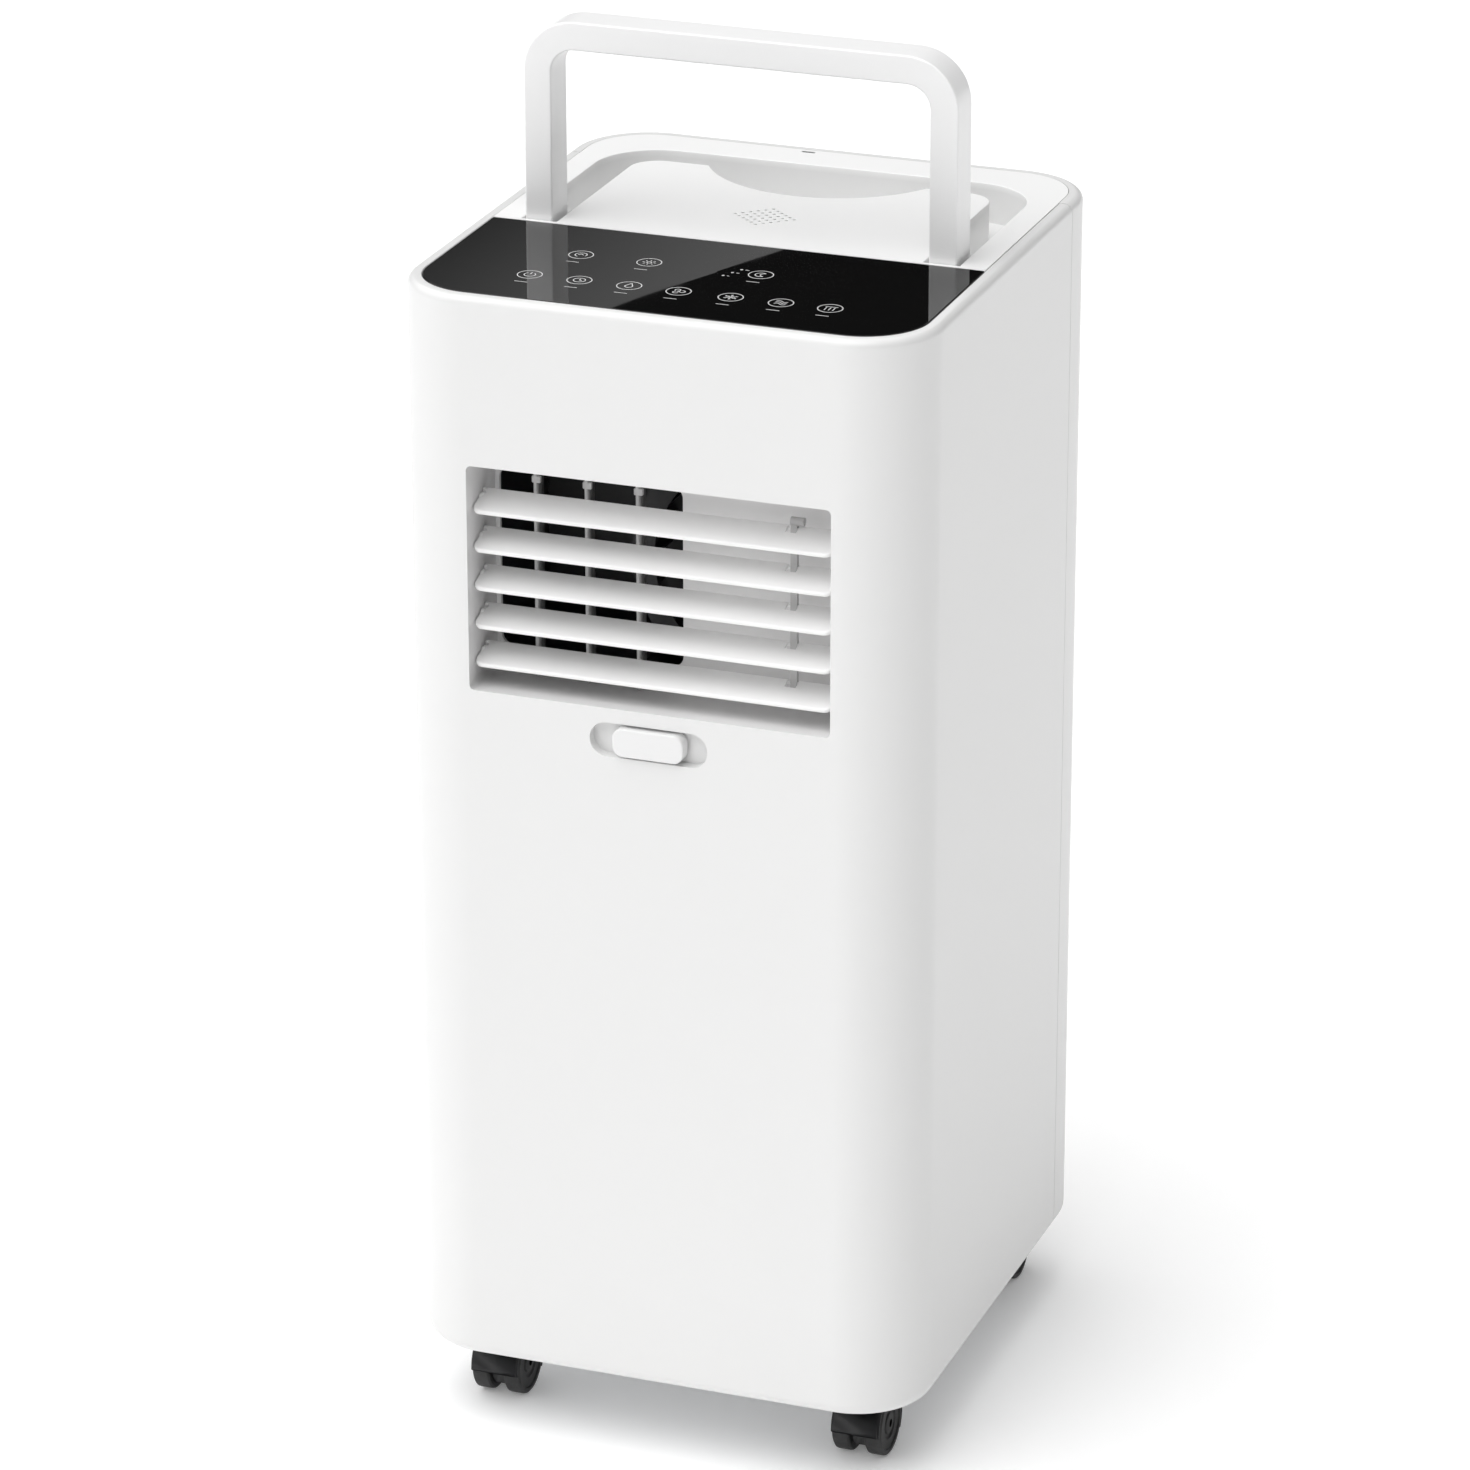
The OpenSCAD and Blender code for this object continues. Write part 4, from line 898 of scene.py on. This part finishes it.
def louverBlade(name):
    half, cut = louver["length"] / 2, louver["cutHalf"]
    notch = block((linkX - louver["notchHalf"], louver["notchFront"], -cut),
                  (linkX + louver["notchHalf"], louver["back"] + cut, cut))
    bm = combined(louverPlate(), notch)
    for side in (-1, 1):
        slitX, wide = side * (half - louver["slitHalf"]), louver["slitHalf"]
        slit = block((slitX - wide, louver["slitFront"], -cut), (slitX + wide, louver["slitBack"], cut))
        bm = combined(bm, slit)
    moved(bm, (louver["shift"], 0, louver["lift"]))
    parts = [bm]
    for side in (-1, 1):
        clipEnds = [(side * (half + out), 0, 0) for out in (-louver["clipIn"], louver["clipOut"])]
        parts.append(rod(*clipEnds, louver["clipRadius"], 24))
        tooth = block((side * half - louver["toothHalf"], louver["toothFront"], -louver["toothLow"]),
                      (side * half + louver["toothHalf"], louver["toothBack"], louver["toothHigh"]))
        parts.append(bevelled(tooth, sharpEdges(tooth), louver["toothSoft"], 2))
        parts.append(rod((side * half, 0, 0), (side * high(name).x, 0, 0), louver["pinRadius"], 16))
    blade = turned(together(*parts), louver["tilt"], "X")
    pinEnd = louver["notchHalf"] + louver["crankPinOut"]
    pin = rod((linkX - pinEnd, louver["crank"], 0), (linkX + pinEnd, louver["crank"], 0),
              louver["crankPinRadius"], 16)
    bm = moved(together(blade, turned(pin, louver["crankTilt"], "X")), jointAt(name + "_tilt"))
    return piece("blade_" + name[-1], bm, finish["louver_white"], name, [name], angle=40)


for name in louverNames:
    louverBlade(name)
print("louvers made,", len(louverNames))


linkBar = {"half": 0.0015, "wide": 0.0019, "top": 0.0036, "pin": 0.0024, "pinEnd": 0.0058,
           "bore": 0.00106, "edge": 0.0003}


def louverLink():
    lowest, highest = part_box("louver_link")
    wide, half = linkBar["wide"], linkBar["half"]
    pinY = jointAt("louver_link_turn").y
    barTop = highest.z - linkBar["top"]
    bm = block((linkX - wide, pinY - half, lowest.z), (linkX + wide, pinY + half, barTop))
    pin = rod((linkX - wide, pinY, barTop), (linkX + linkBar["pinEnd"], pinY, barTop), linkBar["pin"], 28)
    bm = combined(bm, pin, "UNION")
    for name in louverNames:
        pivot = jointAt(name + "_tilt")
        z = pivot.z + louver["crank"] * sin(radians(louver["crankTilt"]))
        bm = combined(bm, rod((linkX - past, pinY, z), (linkX + past, pinY, z), linkBar["bore"], 20))
    return piece("link_bar", bm, finish["guide_grey"], "louver_link", ["louver_link"],
                 linkBar["edge"])


louverLink()

vane = {"thick": 0.002, "front": 0.0065, "back": 0.005, "unshadedEdge": 0.0011, "endGap": 0.0058,
        "hookDrop": 0.0165, "hookLeft": 0.002, "hookRight": 0.0032, "hookBack": 0.004, "hookLow": 0.0008,
        "hookHigh": 0.0048, "hookSoft": 0.0006, "pinRadius": 0.0015, "armHalf": 0.004, "armThick": 0.0025,
        "armEnd": 0.0035, "armBack": 0.003, "forkHalf": 0.002, "forkOut": 0.01, "forkIn": 0.002}
vaneFront = jointAt("vane_1_turn").y - vane["front"]
# the vane finish keeps the front edges light and paints shade on the sides further back
vaneFinish = shadedSidesGrey("vane grey", (0.55, 0.545, 0.545), vaneFront + vane["unshadedEdge"])
vaneNames = sorted(n for n in nodes if n.startswith("vane_") and n != "vane_link")


def airVane(name):
    lowest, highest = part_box(name)
    pivot = jointAt(name + "_turn")
    half = vane["thick"] / 2
    bladeLow = low("outlet_housing").z + vane["endGap"]
    bladeHigh = high("outlet_housing").z - vane["endGap"]
    blade = block((-half, -vane["front"], bladeLow), (half, vane["back"], bladeHigh))
    upright = [e for e in sharpEdges(blade) if abs(e.verts[0].co.z - e.verts[1].co.z) > past]
    blade = bevelled(blade, upright, half * 0.9, 4)
    hookZ = bladeHigh - vane["hookDrop"]
    hook = block((-vane["hookLeft"], -vane["front"], hookZ + vane["hookLow"]),
                 (vane["hookRight"], -vane["hookBack"], hookZ + vane["hookHigh"]))
    hook = bevelled(hook, sharpEdges(hook), vane["hookSoft"], 2)
    armLow = lowest.z
    armHigh = armLow + vane["armThick"]
    crank = pivot.y - lowest.y - vane["armEnd"]
    arm = block((-vane["armHalf"], -crank - vane["armEnd"], armLow),
                (vane["armHalf"], vane["armBack"], armHigh))
    fork = block((-vane["forkHalf"], -crank - vane["forkOut"], armLow - slack),
                 (vane["forkHalf"], -crank + vane["forkIn"], armHigh + slack))
    pin = rod((0, 0, armLow), (0, 0, highest.z), vane["pinRadius"], 20)
    bm = combined(blade, hook, "UNION")
    bm = combined(bm, combined(arm, fork), "UNION")
    bm = combined(bm, pin, "UNION")
    moved(bm, (pivot.x, pivot.y, 0))
    return piece("guide_" + name, bm, vaneFinish, name, [name], angle=30)


for name in vaneNames:
    airVane(name)
print("air guides made,", len(vaneNames))

knob = {"corner": 0.006, "crown": 0.0012, "stem": 0.007, "stemHalf": 0.0025, "slim": 0.0025, "gap": 0.0018}
knob["aside"] = knob["slim"] / 6  # the slimmer cap sits a little to the right


def sliderKnob():
    lowest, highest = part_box("slider_knob")
    width, height = highest.x - lowest.x - knob["slim"], highest.z - lowest.z
    capBack = recessBack - knob["gap"]
    bm = xzPlate(knob["aside"], knobAt.z, width, height, knob["corner"], lowest.y, capBack, 10)
    rim = [e for e in sharpEdges(bm, 60) if max(v.co.y for v in e.verts) < lowest.y + hair]
    bm = bevelled(bm, rim, knob["crown"], 5)
    stem = block((-knob["stem"], capBack - slack, knobAt.z - knob["stemHalf"]),
                 (knob["stem"], highest.y, knobAt.z + knob["stemHalf"]))
    bm = combined(bm, stem, "UNION")
    return piece("knob", bm, finish["knob_white"], "slider", ["slider_knob"], angle=30)


sliderKnob()
print("slider knob made")


# the hood turns with the fork; slim narrows the caster on each side
caster = {"web": 0.004, "hood": 0.0022, "hoodSoft": 0.0012, "hoodTilt": -16, "gap": 0.0008, "slim": 0.002,
          "coreGap": 0.0048, "neck": 0.004, "neckShare": 0.75, "capRadius": 0.011, "capGap": 0.0006,
          "stem": 0.004, "axleBore": 0.00256, "keepWide": 0.03, "keepDeep": 0.05, "keepLow": 0.006}
casterNames = [n[len("caster_fork_"):] for n in nodes if n.startswith("caster_fork_")]


def axleRod(middleX, axle, half, radius, steps):
    return rod((middleX - half, axle.y, axle.z), (middleX + half, axle.y, axle.z), radius, steps)


def casterHood(stem, axle, half, inner):
    # a rounded drum over both wheels; a tilted box keeps its upper part
    outer, soft = inner + caster["hood"], caster["hoodSoft"]
    section = [(-half, inner), (-half, outer - soft), (-half + soft, outer), (half - soft, outer),
               (half, outer - soft), (half, inner), (-half, inner)]
    drum = lathe(section, axle, (1, 0, 0), 64)
    keep = block((stem.x - caster["keepWide"], axle.y - caster["keepDeep"], axle.z - caster["keepLow"]),
                 (stem.x + caster["keepWide"], axle.y + caster["keepDeep"], axle.z + caster["keepDeep"]))
    return combined(drum, turned(keep, caster["hoodTilt"], "X", axle), "INTERSECT")


def casterFork(name):
    lowest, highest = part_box("caster_fork_" + name)
    stem = jointAt("swivel_" + name)
    axle = jointAt("roll_" + name)
    inner = axle.z - floorZ + caster["gap"]
    half = (highest.x - lowest.x) / 2 - caster["slim"]
    neckY = axle.y - (axle.y - stem.y) * caster["neckShare"]
    capTop = caseLow - caster["capGap"]
    bm = casterHood(stem, axle, half, inner)
    capLow = axle.z + inner - slack
    core = axleRod(stem.x, axle, caster["web"], inner - caster["coreGap"], 48)
    neck = rod((stem.x, neckY, axle.z), (stem.x, neckY, capTop), caster["neck"], 32)
    cap = rod((stem.x, stem.y, capLow), (stem.x, stem.y, capTop), caster["capRadius"], 48)
    swivel = rod((stem.x, stem.y, caseLow - slack), (stem.x, stem.y, highest.z), caster["stem"], 32)
    for added in (core, neck, cap, swivel):
        bm = combined(bm, added, "UNION")
    bm = combined(bm, axleRod(stem.x, axle, 2 * past, caster["axleBore"], 24))
    for side in (-1, 1):
        room = rod((stem.x + side * caster["web"], axle.y, axle.z),
                   (stem.x + side * (half + caster["web"]), axle.y, axle.z), inner, 64)
        bm = combined(bm, room)
    return piece("fork_" + name, bm, finish["caster_black"], "caster_fork_" + name,
                 ["caster_fork_" + name], softEdge)


wheel = {"inner": 0.0045, "soft": 0.0009, "tread": 0.0022, "hub": 0.0062, "dish": 0.0009, "groove": 0.0019,
         "grooveOut": 0.0034, "grooveSlope": 0.0026, "grooveIn": 0.0006, "lid": 0.0007, "lidDrop": 0.002,
         "lidEnd": 0.0004, "axle": 0.0025, "axleIn": 0.003, "bore": 0.0024}


def wheelSection(radius, outer):
    # half of a wheel from its inner face to its outer one: tread, dished side, grooved hub
    inner, soft, tread, hub = wheel["inner"], wheel["soft"], wheel["tread"], wheel["hub"]
    dished, grooved = outer - wheel["dish"], outer - wheel["groove"]
    return [(inner, wheel["bore"]), (inner, radius - 1.6 * soft), (inner + soft, radius - 0.3 * soft),
            (inner + 2.2 * soft, radius), (outer - 2.2 * soft, radius), (outer - soft, radius - 0.3 * soft),
            (outer, radius - 1.6 * soft), (outer, radius - tread - 1.2 * soft),
            (dished, radius - tread - 1.8 * soft), (dished, hub + wheel["grooveOut"]),
            (grooved, hub + wheel["grooveSlope"]), (grooved, hub + wheel["grooveIn"]), (dished, hub),
            (outer - wheel["lid"], hub - wheel["lidDrop"]), (outer - wheel["lidEnd"], wheel["bore"])]


def casterWheels(name):
    lowest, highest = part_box("caster_wheels_" + name)
    axle = jointAt("roll_" + name)
    outer = (highest.x - lowest.x) / 2 - caster["slim"]
    parts = [axleRod(axle.x, axle, outer - wheel["axleIn"], wheel["axle"], 24)]
    for side in (-1, 1):
        parts.append(lathe(wheelSection(axle.z - floorZ, outer), axle, (side, 0, 0), 56))
    body = "caster_wheels_" + name
    return piece("wheels_" + name, together(*parts), finish["wheel_black"], body, [body],
                 angle=30)


for name in casterNames:
    casterFork(name)
    casterWheels(name)
print("casters made,", len(casterNames))

# fittings on the back, each with its piece's name and soft edge
fittings = {
    "upper_filter_frame": ("upper_grille", 0.0004),
    "lower_filter_frame": ("lower_grille", 0.0004),
    "exhaust_collar": ("hose_port", 0.0006),
    "cord_gland": ("cord_inlet_ring", 0.0005),
    "upper_drain_plug": ("upper_plug", 0.0004),
    "lower_drain_plug": ("lower_plug", 0.0004),
    "case_screws": ("screws", 0.00015),
}
for node, (name, edge) in fittings.items():
    body = nodes[node]["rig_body"]
    piece(name, welded(node), finish[slotOf[node]], body, [node], edge)
print("back fittings made")

# what stands around the object
stage = {"floorSize": 14, "floorGlow": 0.16, "cardHeight": 2.4, "cardReach": 1.4, "cardPast": 0.5,
         "cardEdge": ((-1.832, 5.054), (-1.940, 4.720)), "worldLight": 0.09, "aim": (0, 0, 0.35)}


def stageFloor():
    bm = bmesh.new()
    bmesh.ops.create_grid(bm, x_segments=1, y_segments=1, size=stage["floorSize"])
    obj = linked("floor", meshOf(moved(bm, (0, 0, floorZ)), "floor"))
    pale = Finish("pale floor")
    obj.data.materials.append(pale.surface({
        "Base Color": pale.mixed(pale.noise(0.6), shade(0.93), shade(0.945)), "Roughness": 0.7,
        "Emission Color": shade(1.0), "Emission Strength": stage["floorGlow"]}))


def stageCard(name, reach, material):
    # a card beyond the object; the glass mirrors its slanted edge
    (farX, farY), (nearX, nearY) = stage["cardEdge"]
    slope = (farX - nearX) / (farY - nearY)
    over = stage["cardPast"]
    near = (nearX - slope * over, nearY - over)
    far = (farX + slope * over, farY + over)
    corners = [near, (near[0] + reach, near[1]), (far[0] + reach, far[1]), far]
    bm = bmesh.new()
    bm.faces.new([bm.verts.new((x, y, floorZ + stage["cardHeight"])) for x, y in corners])
    obj = linked(name, meshOf(bm, name))
    obj.data.materials.append(material)


stageFloor()
cloth = {"Base Color": shade(0.0), "Roughness": 1.0, "Specular IOR Level": 0.0}
stageCard("dark card", stage["cardReach"], Finish("dark cloth").surface(cloth))
lit = Finish("lit cloth")
glow = lit.ramp(lit.along("X") + 2.5, (0.2, 0.07), (0.66, 0.4))
stageCard("lit card", -stage["cardReach"], lit.surface({**cloth, "Emission Color": glow,
                                                       "Emission Strength": 1.0}))

lamps = {
    "key": {"kind": "SUN", "at": (-0.2, -0.36, 0.9), "power": 1.1, "angle": 50},
    "sky": {"kind": "SUN", "at": (-0.3, -0.12, 1), "power": 2.45, "angle": 110},
    "fill": {"kind": "AREA", "at": (3.4, 1.2, 1.2), "power": 2, "size": 2.2},
    "front": {"kind": "AREA", "at": (-0.8, -3.6, 1.3), "power": 8, "size": 1.5},
}
for name, lamp in lamps.items():
    data = bpy.data.lights.new(name, lamp["kind"])
    data.energy = lamp["power"]
    target = Vector(stage["aim"])
    if lamp["kind"] == "SUN":
        data.angle = radians(lamp["angle"])
        target = Vector((0, 0, 0))
    else:
        data.shape = "SQUARE"
        data.size = lamp["size"]
    obj = linked(name, data)
    obj.location = lamp["at"]
    obj.rotation_euler = (target - Vector(lamp["at"])).to_track_quat("-Z", "Y").to_euler()

world = bpy.data.worlds.new("studio")
world.use_nodes = True
background = world.node_tree.nodes["Background"].inputs
background["Color"].default_value = (1, 1, 1, 1)
background["Strength"].default_value = stage["worldLight"]
bpy.context.scene.world = world
print("stage and lamps made,", len(lamps))

view = {"azimuth": 20.288, "elevation": 21.829, "roll": -0.078, "lens": 160.35, "sensor": 36,
        "at": (1.1983, -3.2694, 1.7787)}
cameraData = bpy.data.cameras.new("camera")
cameraData.sensor_width = view["sensor"]
cameraData.lens = view["lens"]
camera = linked("camera", cameraData)
azimuth, elevation = radians(view["azimuth"]), radians(view["elevation"])
looking = -Vector((sin(azimuth) * cos(elevation), -cos(azimuth) * cos(elevation), sin(elevation)))
aimed = looking.to_track_quat("-Z", "Y").to_matrix().to_4x4()
rolled = Matrix.Rotation(radians(view["roll"]), 4, "Z")
camera.matrix_world = Matrix.Translation(view["at"]) @ aimed @ rolled
bpy.context.scene.camera = camera
bpy.context.scene.view_settings.view_transform = "Standard"
